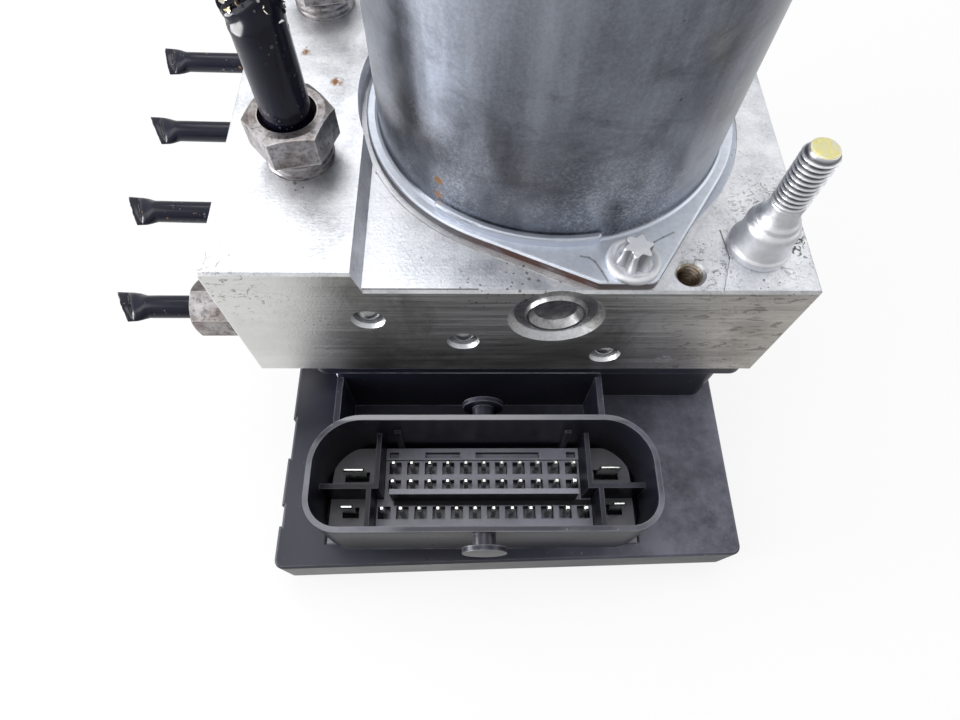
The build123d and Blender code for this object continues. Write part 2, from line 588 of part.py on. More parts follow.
def armature_windings():
    """Copper in the slots, joined by the end turns above and below the stack."""
    rings = [turned([(8.0, z0), (20.5, z0), (21.4, (z0 + z1) / 2), (20.5, z1), (8.0, z1)])
             for z0, z1 in ((82.0, 86.0), (116.0, 121.0))]
    wound = rings[0] + rings[1]
    bar = Pos(17.0, 0, 85.9) * Box(8.6, 4.8, 30.2, align=(Align.CENTER, Align.CENTER, Align.MIN))
    for index in range(ARMATURE_TEETH):
        wound += Rot(0, 0, index * 360 / ARMATURE_TEETH) * bar
    return wound


def commutator():
    """Commutator with its segments parted by narrow slots."""
    body = pipe_ring(SHAFT_D / 2, COMMUTATOR_R, 72.5, 81.6)
    slot = Pos(COMMUTATOR_R, 0, 73.5) * Box(1.6, 0.5, 9.0, align=(Align.CENTER, Align.CENTER, Align.MIN))
    for index in range(ARMATURE_TEETH):
        body -= Rot(0, 0, (index + 0.5) * 360 / ARMATURE_TEETH) * slot
    return body


def motor_magnets():
    """Four curved magnets inside the can."""
    ring = pipe_ring(MAGNET_R[0], MAGNET_R[1], 82.0, 120.0)
    half = radians(MAGNET_ANGLE / 2)
    wedge = prism([(0, 0), (50 * cos(half), -50 * sin(half)), (50 * cos(half), 50 * sin(half))], 80, 122)
    return joined([ring & (Rot(0, 0, 45 + 90 * index) * wedge) for index in range(4)])


def brush_plate():
    """Moulded plate with two brush boxes and the lead finger through the block."""
    z = 72.5
    plate = pipe_ring(11.0, 32.8, z, z + 2.4)
    for side in (-1, 1):
        plate += block(*sorted((side * 11.0, side * 24.0)), -4.2, 4.2, z + 2.0, z + 8.4)
        plate -= block(*sorted((side * 9.0, side * 22.5)), -2.6, 2.6, z + 2.4, z + 7.2)
    plate += rod((MOTOR_LEAD[0], MOTOR_LEAD[1], 30.0), (0, 0, 1), 3.2, z - 30.0 + 0.4)
    return plate - lead_strips(29.0)


def lead_strips(z0):
    """The two power strips of the motor, from z0 up to the brush plate."""
    x = MOTOR_LEAD[0]
    return [block(x - 0.5, x + 0.5, *sorted((side * 0.7, side * 2.2)), z0, 73.1) for side in (-1, 1)]


def motor_terminals():
    """The two power strips inside the lead finger, down to the circuit board."""
    return joined(lead_strips(BOARD_Z - 1.0))


def carbon_brushes():
    tip = COMMUTATOR_R + 0.12
    return joined([block(*sorted((side * tip, side * 20.0)), -2.5, 2.5, 75.0, 79.6) for side in (-1, 1)])


# ---------------------------------------------------------------- valves and accumulators
def valve_body(kind, y):
    """Valve cartridge: seat body staked in the block and the armature tube below it."""
    outer_tube = VALVE_TUBE_R
    profile = [(0.8, VALVE_DEPTH - 0.4), (3.2, VALVE_DEPTH - 0.4), (3.2, 7.0), (VALVE_R, 6.2), (VALVE_R, 0.0),
               (outer_tube, -0.6), (outer_tube, -VALVE_TUBE_LENGTH + 1.4),
               (outer_tube - 1.2, -VALVE_TUBE_LENGTH), (0, -VALVE_TUBE_LENGTH), (0, -VALVE_TUBE_LENGTH + 0.8),
               (PLUNGER_R + 0.04, -VALVE_TUBE_LENGTH + 1.6), (PLUNGER_R + 0.04, 2.0), (1.3, 2.4), (1.3, 8.4),
               (0.8, 9.0)]
    return turned(profile, Plane(origin=(VALVE_X[kind], y, BLOCK_BOTTOM)))


def valve_plunger(kind, y):
    """Magnetic plunger with its valve needle: inlets rest open, outlets rest shut, one travel higher."""
    lift = PLUNGER_TRAVEL if kind == "outlet" else 0.0
    bottom = -VALVE_TUBE_LENGTH + 1.8
    profile = [(0, bottom), (PLUNGER_R - 0.3, bottom), (PLUNGER_R, bottom + 0.3), (PLUNGER_R, 1.2), (1.9, 1.5),
               (1.1, 1.5), (1.1, 7.2), (0.3, 8.2), (0, 8.2)]
    return turned(profile, Plane(origin=(VALVE_X[kind], y, BLOCK_BOTTOM + lift)))


def solenoid_coils():
    """Eight moulded coils with their steel yoke rings, one over each valve tube."""
    bore = VALVE_TUBE_R + 0.25
    top = BLOCK_BOTTOM - 0.8
    low = top - COIL_HEIGHT
    profile = [(bore, low), (COIL_R, low), (COIL_R, low + 1.4), (COIL_R - 1.1, low + 1.4),
               (COIL_R - 1.1, top - 1.4), (COIL_R, top - 1.4), (COIL_R, top), (bore, top)]
    shape = turned(profile)
    coils = []
    for x in VALVE_X.values():
        for y in VALVE_Y:
            leads = block(x + 6.0, x + 6.8, y - 2.6, y - 1.8, BOARD_Z - 1.0, low + 0.1)
            leads += block(x + 6.0, x + 6.8, y + 1.8, y + 2.6, BOARD_Z - 1.0, low + 0.1)
            coils.append(Pos(x, y, 0) * shape + leads)
    return joined(coils)


# ---------------------------------------------------------------- electronic control unit
def neck_outline(grow):
    """Outline of the upper housing, grown outwards (or inwards if negative)."""
    left, right = NECK_LEFT - grow, NECK_RIGHT + grow
    front, back = -NECK_HALF_DEPTH - grow, NECK_HALF_DEPTH + grow
    step_x, step_y = NECK_STEP[0] - grow, NECK_STEP[1] - grow
    return [(left, back), (left, step_y), (step_x, step_y), (step_x, front), (right, front), (right, back)]


def ecu_outline(inset, notched=False):
    """Outline of the low box, drawn in by inset, with or without the steps in its left edge."""
    left, right, back = ECU_LEFT + inset, ECU_RIGHT - inset, ECU_BACK - inset
    front_left, front_right = [y + inset for y in ECU_FRONT_Y]
    points = [(left, front_left), (right, front_right), (right, back), (left, back)]
    if notched:
        for low_y, high_y in sorted(ECU_NOTCHES, reverse=True):
            points += [(left, high_y), (left + NOTCH_DEPTH, high_y), (left + NOTCH_DEPTH, low_y), (left, low_y)]
    return points


def ecu_housing():
    """One moulding: the low box, the upper housing round the coils and the connector shroud."""
    outline = make_face(Polyline(*ecu_outline(0, notched=True), close=True))
    corners = [v for v in outline.vertices() if v.Y > ECU_BACK - 1 or v.Y < ECU_FRONT_Y[1] + 1]
    outline = fillet(corners, ECU_CORNER_R)
    low = Pos(0, 0, COVER_THICK) * extrude(outline, SHELF_Z - COVER_THICK)
    low = chamfer(low.edges().group_by(Axis.Z)[-1], 0.5)
    low -= prism(ecu_outline(ECU_WALL), COVER_THICK - 1, SHELF_Z - SHELF_THICK, 0.8)
    neck = prism(neck_outline(0), SHELF_Z - 1, NECK_TOP, 3.2)
    rim_bottom = NECK_TOP - NECK_RIM_HEIGHT
    neck += prism(neck_outline(NECK_RIM), rim_bottom, NECK_TOP, 3.2)
    shroud = rounded_box(SHROUD_LEFT, SHROUD_RIGHT, SHROUD_FRONT, SHROUD_BACK, SHELF_Z - 1, SHROUD_TOP,
                         SHROUD_FRONT_R, SHROUD_BACK_R)
    wall = SHROUD_WALL
    shroud_hollow = rounded_box(SHROUD_LEFT + wall, SHROUD_RIGHT - wall, SHROUD_FRONT + wall,
                                SHROUD_BACK - wall, SHELF_Z, SHROUD_TOP + 1,
                                SHROUD_FRONT_R - wall, SHROUD_BACK_R - wall)
    body = low + neck + shroud
    # ribs that brace the shroud against the upper housing
    for x in BRACE_X:
        body += block(x - 0.7, x + 0.7, SHROUD_BACK - 0.5, -NECK_HALF_DEPTH + 0.5, SHELF_Z - 0.5, BRACE_TOP)
    body += block(*BRACE_X, BULGE_Y, -NECK_HALF_DEPTH + 0.5, SHELF_Z - 0.5, rim_bottom + 0.5)
    body -= shroud_hollow
    for pad in blade_pads():
        body += pad
    body -= prism(neck_outline(-ECU_WALL), SHELF_Z - SHELF_THICK - 0.1, NECK_TOP + 1, 1.5)
    for x, y in TOWERS:
        body += rod((x, y, COVER_THICK), (0, 0, 1), TOWER_R, NECK_TOP - COVER_THICK)
    for x, y in TOWERS:
        body -= rod((x, y, COVER_THICK - 1), (0, 0, 1), TOWER_HEAD_R, TOWER_HEAD_Z - COVER_THICK + 1)
        body -= rod((x, y, COVER_THICK), (0, 0, 1), 2.2, NECK_TOP)
    body -= prism(guide_outline(-GUIDE_LEDGE), SHELF_Z - SHELF_THICK - 0.1, SHELF_Z + 0.1)
    for x, y, width in BLADES:
        body -= pin(x, y, width, BLADE_THICK, BLADE_TOP)
        body -= block(x - width / 2 - 0.5, x + width / 2 + 0.5, y - 1.2, y + 1.2, SHELF_Z - 1.0, PAD_TOP + 1)
    for shape in keying_ribs():
        body += shape
    for side, wall_y in ((-1, SHROUD_FRONT), (1, SHROUD_BACK)):
        body += lever_pivot(side, wall_y)
    return body


def blade_pads():
    """Raised floor under the blades, with one large round corner at the outer back of each."""
    front = SHROUD_FRONT + SHROUD_WALL - 0.4
    pads = []
    for side, outer_x, inner_x in ((-1, PAD_LEFT, GUIDE_FRONT[0]), (1, PAD_RIGHT, GUIDE_FRONT[1])):
        width = abs(inner_x - outer_x)
        pad = block(*sorted((outer_x, outer_x - side * width)), front, PAD_BACK, SHELF_Z - 0.5, PAD_TOP)
        corner = pad.edges().filter_by(Axis.Z).sort_by(lambda e: -side * e.center().X - e.center().Y)[0]
        pads.append(fillet(corner, PAD_R))
    return pads


def guide_outline(grow):
    """T-shaped outline of the terminal guide, between the keying ribs."""
    rear, front = GUIDE_REAR, GUIDE_FRONT
    low_y = SHROUD_FRONT + SHROUD_WALL + 0.2 - grow
    return [(rear[0] - grow, GUIDE_BACK_Y + grow), (rear[0] - grow, GUIDE_STEP_Y + grow),
            (front[0] - grow, GUIDE_STEP_Y + grow), (front[0] - grow, low_y), (front[1] + grow, low_y),
            (front[1] + grow, GUIDE_STEP_Y + grow), (rear[1] + grow, GUIDE_STEP_Y + grow),
            (rear[1] + grow, GUIDE_BACK_Y + grow)]


def lever_pivot(side, wall_y):
    """Stub with a round head on the shroud wall, for the plug's locking lever."""
    x = (SHROUD_LEFT + SHROUD_RIGHT) / 2
    inner = wall_y - side * 0.5
    plane = facing((x, inner, LEVER_Z), (0, side, 0))
    stub = plane * Cylinder(LEVER_PIN_R, 3.6, align=(Align.CENTER, Align.CENTER, Align.MIN))
    head = plane * (Pos(0, 0, 3.2) * Cylinder(LEVER_HEAD_R, 1.1, align=(Align.CENTER, Align.CENTER, Align.MIN)))
    return stub + head


def keying_ribs():
    """Ribs inside the shroud that key the plug, from the shelf up."""
    back = SHROUD_BACK - SHROUD_WALL + 0.4
    front = SHROUD_FRONT + SHROUD_WALL - 0.4
    left = SHROUD_LEFT + SHROUD_WALL - 0.4
    right = SHROUD_RIGHT - SHROUD_WALL + 0.4
    t = KEY_RIB_THICK
    z0, z1 = SHELF_Z - 0.5, KEY_RIB_TOP
    y0, y1 = KEY_RIB_Y, KEY_RIB_Y + t
    rear_x = (GUIDE_REAR[0] - t, GUIDE_REAR[1] + 0.1)
    front_x = (GUIDE_FRONT[0] - t, GUIDE_FRONT[1] + 0.1)
    ribs = [block(x, x + t - 0.1, y0, back, z0, z1) for x in rear_x]
    ribs += [block(x, x + t - 0.1, front, y1, z0, z1) for x in front_x]
    ribs.append(block(left, rear_x[0] + t - 0.1, y0, y1, z0, z1))
    ribs.append(block(rear_x[1], right, y0, y1, z0, z1))
    ribs += [block(x - 0.7, x + 0.7, GUIDE_BACK_Y + 0.1, back, z0, POST_TOP) for x in POST_X]
    return ribs


def terminal_guide():
    """Moulded insert in the shroud floor: a pocket round every terminal and a tongue between rows."""
    plate = prism(guide_outline(0), SHELF_Z, GUIDE_TOP)
    plate += prism(guide_outline(-GUIDE_LEDGE - 0.15), SHELF_Z - SHELF_THICK, SHELF_Z + 0.1)
    left, right = GUIDE_REAR
    # land with two long slots and two short ones behind the first row
    plate += block(left, right, -59.9, GUIDE_BACK_Y, GUIDE_TOP - 0.1, GUIDE_TOP + 0.6)
    for x0, x1 in ((-27.2, -18.8), (-15.0, 0.4), (left + 0.8, left + 3.0), (right - 3.0, right - 0.8)):
        plate -= block(x0, x1, -59.4, -58.0, GUIDE_TOP - 1.0, GUIDE_TOP + 2)
    plate += block(left + 1.9, right - 1.6, *TONGUE_Y, GUIDE_TOP - 0.1, TONGUE_TOP)
    half = POCKET_SIDE / 2
    pockets = [block(x - half, x + half, y - half, y + half, SHELF_Z - 1.2, GUIDE_TOP + 1)
               for x, y in pin_places()]
    plate -= pockets
    plate -= [pin(x, y, PIN_SIDE, PIN_SIDE, PIN_TOP) for x, y in pin_places()]
    return plate


def pin_places():
    """Centre of every signal pin."""
    return [(first_x + index * PIN_PITCH, y) for first_x, y, count in PIN_ROWS for index in range(count)]


def pin(x, y, width, depth, top):
    """One upright terminal from the circuit board."""
    return block(x - width / 2, x + width / 2, y - depth / 2, y + depth / 2, BOARD_Z - 1.0, top)


def tapered_pin(x, y, width, depth, top, taper):
    """A terminal with its tip drawn in on all four sides."""
    shape = pin(x, y, width, depth, top)
    return chamfer(shape.faces().sort_by(Axis.Z)[-1].edges(), taper)


def signal_pins():
    return joined([tapered_pin(x, y, PIN_SIDE, PIN_SIDE, PIN_TOP, 0.22) for x, y in pin_places()])


def power_blades():
    return joined([tapered_pin(x, y, width, BLADE_THICK, BLADE_TOP, 0.25) for x, y, width in BLADES])


def circuit_board():
    board = prism(ecu_outline(ECU_WALL + 0.6), BOARD_Z, BOARD_Z + BOARD_THICK, 2.0)
    for x, y in TOWERS:
        board -= rod((x, y, BOARD_Z - 1), (0, 0, 1), TOWER_R + 0.5, 4)
    board -= [pin(x, y, PIN_SIDE, PIN_SIDE, PIN_TOP) for x, y in pin_places()]
    for x, y, width in BLADES:
        board -= pin(x, y, width, BLADE_THICK, BLADE_TOP)
    for x in VALVE_X.values():
        for y in VALVE_Y:
            for dy in (-2.2, 2.2):
                board -= block(x + 6.0, x + 6.8, y + dy - 0.4, y + dy + 0.4, BOARD_Z - 1, BOARD_Z + 4)
    board -= lead_strips(BOARD_Z - 1.0)
    return board


def ecu_cover():
    """Flat lid, set in a little from the housing's edge."""
    lid = prism(ecu_outline(COVER_INSET), 0, COVER_THICK, ECU_CORNER_R)
    lid = chamfer(lid.edges().group_by(Axis.Z)[0], 0.5)
    for x, y in TOWERS:
        lid -= rod((x, y, -1), (0, 0, 1), TOWER_HEAD_R + 0.3, 5)
    return lid


def ecu_screw(x, y):
    """Pan head screw up through a tower into the block."""
    z = TOWER_HEAD_Z
    head = turned([(0, -2.6), (2.6, -2.6), (3.5, -1.7), (3.5, 0), (0, 0)])
    head -= turned([(0, -3), (1.4, -3), (1.4, -1.2), (0, -1.2)])
    shank = rod((0, 0, -0.2), (0, 0, 1), 1.95, 42.6 - z)
    return Pos(x, y, z) * (head + shank)


def housing_gasket():
    """Flat seal between the upper housing and the block."""
    seal = prism(neck_outline(0.9), NECK_TOP, BLOCK_BOTTOM, 3.2)
    return seal - prism(neck_outline(-1.4), NECK_TOP - 1, BLOCK_BOTTOM + 1, 1.5)


# ---------------------------------------------------------------- write the parts
def nodes():
    """Every node by name, as a function that makes it."""
    parts = {
        "hydraulic_block": hydraulic_block,
        "motor_can": motor_can,
        "motor_flange": motor_flange,
        "motor_screws": lambda: joined([motor_screw(*EAR_SCREW), motor_screw(-EAR_SCREW[0], -EAR_SCREW[1])]),
        "motor_shaft": motor_shaft,
        "motor_magnets": motor_magnets,
        "armature_core": armature_core,
        "armature_windings": armature_windings,
        "commutator": commutator,
        "shaft_bearings": shaft_bearings,
        "eccentric_ring": eccentric_ring,
        "brush_plate": brush_plate,
        "carbon_brushes": carbon_brushes,
        "motor_terminals": motor_terminals,
        "mounting_stud": mounting_stud,
        "passage_balls": passage_balls,
        "mc_nuts": lambda: joined([mc_nut(x, y) for x, y in MC_PORTS]),
        "wheel_nuts": lambda: joined([wheel_nut(y) for y in WHEEL_PORT_Y]),
        "accumulator_caps": lambda: joined([accumulator_cap(y) for y in ACCUMULATOR_Y]),
        "solenoid_coils": solenoid_coils,
        "ecu_housing": ecu_housing,
        "ecu_cover": ecu_cover,
        "ecu_screws": lambda: joined([ecu_screw(x, y) for x, y in TOWERS]),
        "housing_gasket": housing_gasket,
        "circuit_board": circuit_board,
        "terminal_guide": terminal_guide,
        "signal_pins": signal_pins,
        "power_blades": power_blades,
    }
    for index, name in enumerate(("front", "rear")):
        parts[f"mc_pipe_{name}"] = lambda index=index: mc_pipe(index)
        side = (-1, 1)[index]
        parts[f"pump_plug_{name}"] = lambda side=side: pump_plug(side)
        parts[f"pump_piston_{name}"] = lambda side=side: pump_piston(side)
        parts[f"pump_spring_{name}"] = lambda side=side: pump_spring(side)
        y = ACCUMULATOR_Y[index]
        parts[f"accumulator_piston_{name}"] = lambda y=y: accumulator_piston(y)
        parts[f"accumulator_spring_{name}"] = lambda y=y: accumulator_spring(y)
    for index in range(4):
        parts[f"wheel_pipe_{index + 1}"] = lambda index=index: wheel_pipe(index)
        for kind in VALVE_X:
            y = VALVE_Y[index]
            parts[f"{kind}_valve_{index + 1}"] = lambda kind=kind, y=y: valve_body(kind, y)
            parts[f"{kind}_plunger_{index + 1}"] = lambda kind=kind, y=y: valve_plunger(kind, y)
    return parts


os.makedirs("parts", exist_ok=True)
for node_name, make in nodes().items():
    export_step(make(), f"parts/{node_name}.step")
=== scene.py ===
import json
import random
from math import cos, pi, radians, sin, tan

import bmesh
import bpy
from mathutils import Matrix, Vector, noise

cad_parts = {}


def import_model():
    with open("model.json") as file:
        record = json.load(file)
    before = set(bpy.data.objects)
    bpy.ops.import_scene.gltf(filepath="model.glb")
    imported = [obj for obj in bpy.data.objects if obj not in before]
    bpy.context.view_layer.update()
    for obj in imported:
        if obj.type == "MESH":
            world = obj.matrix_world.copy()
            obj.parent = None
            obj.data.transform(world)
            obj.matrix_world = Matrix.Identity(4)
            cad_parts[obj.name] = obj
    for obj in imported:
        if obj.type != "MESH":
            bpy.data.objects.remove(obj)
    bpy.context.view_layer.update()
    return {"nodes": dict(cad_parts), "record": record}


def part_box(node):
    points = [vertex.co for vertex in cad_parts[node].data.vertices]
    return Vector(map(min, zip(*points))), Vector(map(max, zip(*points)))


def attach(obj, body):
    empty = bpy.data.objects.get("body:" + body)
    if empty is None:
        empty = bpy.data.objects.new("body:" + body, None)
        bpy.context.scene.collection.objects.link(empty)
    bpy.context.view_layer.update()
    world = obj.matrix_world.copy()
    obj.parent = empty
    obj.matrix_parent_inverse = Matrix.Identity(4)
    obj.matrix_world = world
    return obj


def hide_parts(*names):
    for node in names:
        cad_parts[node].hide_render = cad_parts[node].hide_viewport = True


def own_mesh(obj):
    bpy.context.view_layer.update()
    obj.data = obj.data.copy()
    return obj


# Looks of the ABS brake module: materials for the CAD parts, the threads, the star-headed bolts, the
# cut pipes, the springs, the rust and dirt, and the camera and light. Sizes and places are in
# millimetres, and are turned into metres where a mesh or a shader node takes them.
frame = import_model()
NODES = frame["nodes"]
MM = 0.001
random.seed(11)

# ---------------------------------------------------------------- places on the CAD model
FACE_Z = 67.9              # machined face that the motor stands on
LAND_Z = 73.2              # raised land with the two larger ports
FLANGE_TOP_Z = 69.9
BLOCK_LEFT = -63.0
STUD_POS = (37.0, -34.9)
STUD_TOP_Z = 92.4
STUD_R = 3.0
STUD_ROOT_R = 2.42
THREAD_PITCH = 1.0
EAR_SCREW = (12.6, -40.0)
TAPPED_HOLE_POS = (23.5, -40.8)
TAPPED_HOLE_R = 2.5
MC_PORTS = ((-48.1, -18.2), (-48.1, 26.6))
MC_NUT_R = 6.2
WHEEL_PORT_Y = (-37.0, -12.4, 12.4, 37.0)
WHEEL_PORT_Z = 49.5
# connector: inner walls of the shroud, its floor and top, and the heights between which the pads lie
SOCKET_X = (-50.0, 23.1)
SOCKET_Y = (-79.2, -56.0)
SOCKET_FLOOR_Z, SOCKET_TOP_Z = 15.0, 33.5
PAD_Z = (14.75, 16.15)
TONGUE_GAP_X, TONGUE_GAP_Y = -34.3, (-70.8, -69.4)     # painted shadow strip in front of the guide's tongue

# ---------------------------------------------------------------- places of marks
PRESSED_EDGE_SHADE_LINES = (         # edges of the pressed seat round the motor bolt, along which shade is painted
    ((3.4, -38.6, 69.9), (4.9, -38.9, 69.9), (5.9, -39.8, 69.9), (6.9, -41.8, 69.9), (7.9, -44.3, 69.9)),
    ((21.0, -33.2, 69.9), (18.9, -34.3, 69.9), (17.1, -35.4, 69.9), (16.4, -36.4, 69.9)),
)
GLINT = ((-49.1, -42.0, 25.4), (-48.2, -42.3, 20.5), (-46.8, -42.9, 15.4))   # painted glint on the neck's rounded corner
SCUFFED_CORNER = (44.0, -62.0, 12.0)
FACE_SCRATCH = ((-49.8, -45.0, 45.4), (-46.5, -45.0, 46.4), (-44.4, -45.0, 48.6), (-43.2, -45.0, 49.9))
FACE_SPOT = (25.5, -45.0, 41.3)     # rough round mark of the tool on the front face
CAN_RUST = ((-22.3, -27.4, 73.0), (-22.1, -27.5, 76.8))
LAND_RUST = (((-50.8, 10.5, 73.2), 0.45), ((-43.3, 1.7, 73.2), 0.75), ((-43.8, -6.2, 73.2), 0.15))
# patches of dirt on the block: centre, radius, soft edge, noise (scale, detail, roughness, distortion),
# threshold of the noise, strength
DIRT = (
    ((44.5, -30.0, 67.9), 5.0, 12.0, (700, 5, 0.75, 1.5), 0.52, 1.0),     # by the stud
    ((28.0, -39.0, 67.9), 2.0, 6.0, (500, 5, 0.80, 2.0), 0.54, 1.0),      # by the tapped hole
    ((-58.0, -45.0, 68.0), 3.0, 9.0, (260, 6, 0.80, 2.4), 0.55, 0.8),     # front left corner
)


# ---------------------------------------------------------------- node helpers
class Nodes:
    """Short calls that add and link shader nodes in one tree."""

    def __init__(self, tree):
        self.tree = tree

    def link(self, value, socket):
        if isinstance(value, bpy.types.NodeSocket):
            self.tree.links.new(value, socket)
        else:
            socket.default_value = value

    def new(self, kind, *inputs, **settings):
        """A node with its settings made and its first inputs linked or filled."""
        node = self.tree.nodes.new("ShaderNode" + kind)
        for name, value in settings.items():
            setattr(node, name, value)
        for value, socket in zip(inputs, node.inputs):
            self.link(value, socket)
        return node

    def math(self, operation, *values, clamp=False):
        return self.new("Math", *values, operation=operation, use_clamp=clamp).outputs[0]

    def times(self, first, *others):
        for other in others:
            first = self.math("MULTIPLY", first, other)
        return first

    def most(self, first, second):
        return self.math("MAXIMUM", first, second)

    def weighed(self, *shares):
        """The sum of masks, each times its weight."""
        total = 0.0
        for value, weight in shares:
            total = self.math("MULTIPLY_ADD", value, weight, total)
        return total

    def span(self, value, low, high, out_low=0.0, out_high=1.0):
        """Maps low to high onto out_low to out_high and holds the ends; low may be the larger."""
        return self.new("MapRange", value, low, high, out_low, out_high).outputs[0]

    def dot(self, first, second):
        return self.new("VectorMath", first, second, operation="DOT_PRODUCT").outputs["Value"]

    def part(self, vector, name):
        return self.new("SeparateXYZ", vector).outputs[name]

    def ramp(self, factor, *stops):
        """A colour ramp: each stop is (position, colour)."""
        node = self.new("ValToRGB", factor)
        elements = node.color_ramp.elements
        while len(elements) < len(stops):
            elements.new(0.5)
        for element, (position, colour) in zip(elements, stops):
            element.position = position
            element.color = (*colour, 1.0)
        return node.outputs["Color"]

    def clear_rays(self, glossy_share=1.0):
        """1 for the camera and for transmitted rays, and glossy_share for reflections."""
        path = self.new("LightPath").outputs
        seen = self.math("MULTIPLY_ADD", path["Is Glossy Ray"], glossy_share, path["Is Camera Ray"])
        return self.math("ADD", seen, path["Is Transmission Ray"], clamp=True)


class Material(Nodes):
    """A node material under construction, with masks by place on the object."""

    def __init__(self, name, **sockets):
        self.material = bpy.data.materials.new(name)
        self.material.use_nodes = True
        super().__init__(self.material.node_tree)
        self.shader = self.tree.nodes["Principled BSDF"]
        self.set(**sockets)
        coordinates = self.new("TexCoord")
        self.place = coordinates.outputs["Object"]
        self.normal = coordinates.outputs["Normal"]

    def set(self, **sockets):
        for socket, value in sockets.items():
            self.link(value, self.shader.inputs[socket.replace("_", " ")])
        return self.material

    def stretched(self, x, y, z):
        """The object coordinates, in metres, scaled along each axis."""
        node = self.new("Mapping", self.place)
        node.inputs["Scale"].default_value = (x, y, z)
        return node.outputs["Vector"]

    def noise(self, scale, detail=4.0, roughness=0.6, vector=None, distortion=0.0):
        node = self.new("TexNoise", vector or self.place)
        node.inputs["Scale"].default_value = scale
        node.inputs["Detail"].default_value = detail
        node.inputs["Roughness"].default_value = roughness
        node.inputs["Distortion"].default_value = distortion
        return node.outputs["Fac"]

    def cells(self, scale, vector=None, feature="F1"):
        node = self.new("TexVoronoi", vector or self.place, feature=feature)
        node.inputs["Scale"].default_value = scale
        return node.outputs["Distance"]

    def mix(self, factor, first, second, blend="MIX"):
        node = self.new("Mix", factor, data_type="RGBA", blend_type=blend)
        for value, socket in ((first, node.inputs[6]), (second, node.inputs[7])):
            self.link((*value, 1.0) if isinstance(value, tuple) else value, socket)
        return node.outputs[2]

    def facing(self, name, low, high):
        """0 to 1 as the surface's normal turns from low to high along an axis."""
        return self.span(self.part(self.normal, name), low, high)

    def mm_span(self, value, low, high, out_low=0.0, out_high=1.0):
        """As span, with low and high in millimetres."""
        return self.span(value, low * MM, high * MM, out_low, out_high)

    def along(self, name, low, high, out_low=0.0, out_high=1.0):
        """As mm_span, by the place along an axis."""
        return self.mm_span(self.part(self.place, name), low, high, out_low, out_high)

    def between(self, name, low, high, soft=0.2):
        """1 between two places along an axis, with an edge that is soft to either side of each."""
        return self.times(self.along(name, low - soft, low + soft),
                          self.along(name, high + soft, high - soft))

    def near(self, centre, radius, soft):
        """1 inside a sphere round centre, falling to 0 over the soft distance."""
        away = self.new("VectorMath", self.place, [c * MM for c in centre], operation="DISTANCE")
        return self.mm_span(away.outputs["Value"], radius + soft, radius)

    def from_axis(self, x, y, low, high):
        """As mm_span, by the distance from the upright line through x, y."""
        across = self.math("SUBTRACT", self.part(self.place, "X"), x * MM)
        along = self.math("SUBTRACT", self.part(self.place, "Y"), y * MM)
        away = self.math("SQRT", self.math("MULTIPLY_ADD", across, across, self.times(along, along)))
        return self.mm_span(away, low, high)

    def strokes(self, points, core, edge):
        """A mask for each leg of a line through points: 1 within core of it and 0 beyond edge."""
        for start, end in zip(points, points[1:]):
            start, end = Vector(start) * MM, Vector(end) * MM
            along = tuple((end - start).normalized())
            offset = self.new("VectorMath", self.place, tuple(start), operation="SUBTRACT").outputs[0]
            share = self.math("MINIMUM", self.most(self.dot(offset, along), 0.0), (end - start).length)
            nearest = self.new("VectorMath", along, operation="SCALE")
            self.link(share, nearest.inputs["Scale"])
            away = self.new("VectorMath", offset, nearest.outputs[0], operation="DISTANCE")
            yield self.mm_span(away.outputs["Value"], edge, core)

    def coat(self, colour, over, *shares):
        """A colour with another one laid over it, by the product of the shares."""
        return self.mix(self.times(*shares), colour, over)

    def edge_wear(self, radius):
        """1 along sharp outer edges: the bevelled normal turns away from the face there."""
        bevel = self.new("Bevel", radius * MM, samples=4)
        geometry = self.new("NewGeometry")
        return self.span(self.dot(bevel.outputs[0], geometry.outputs["Normal"]), 0.98, 0.75)

    def bump(self, height, distance, strength=1.0, after=None):
        node = self.new("Bump")
        node.inputs["Distance"].default_value = distance * MM
        node.inputs["Strength"].default_value = strength
        self.link(height, node.inputs["Height"])
        if after is not None:
            self.link(after, node.inputs["Normal"])
        return node.outputs["Normal"]


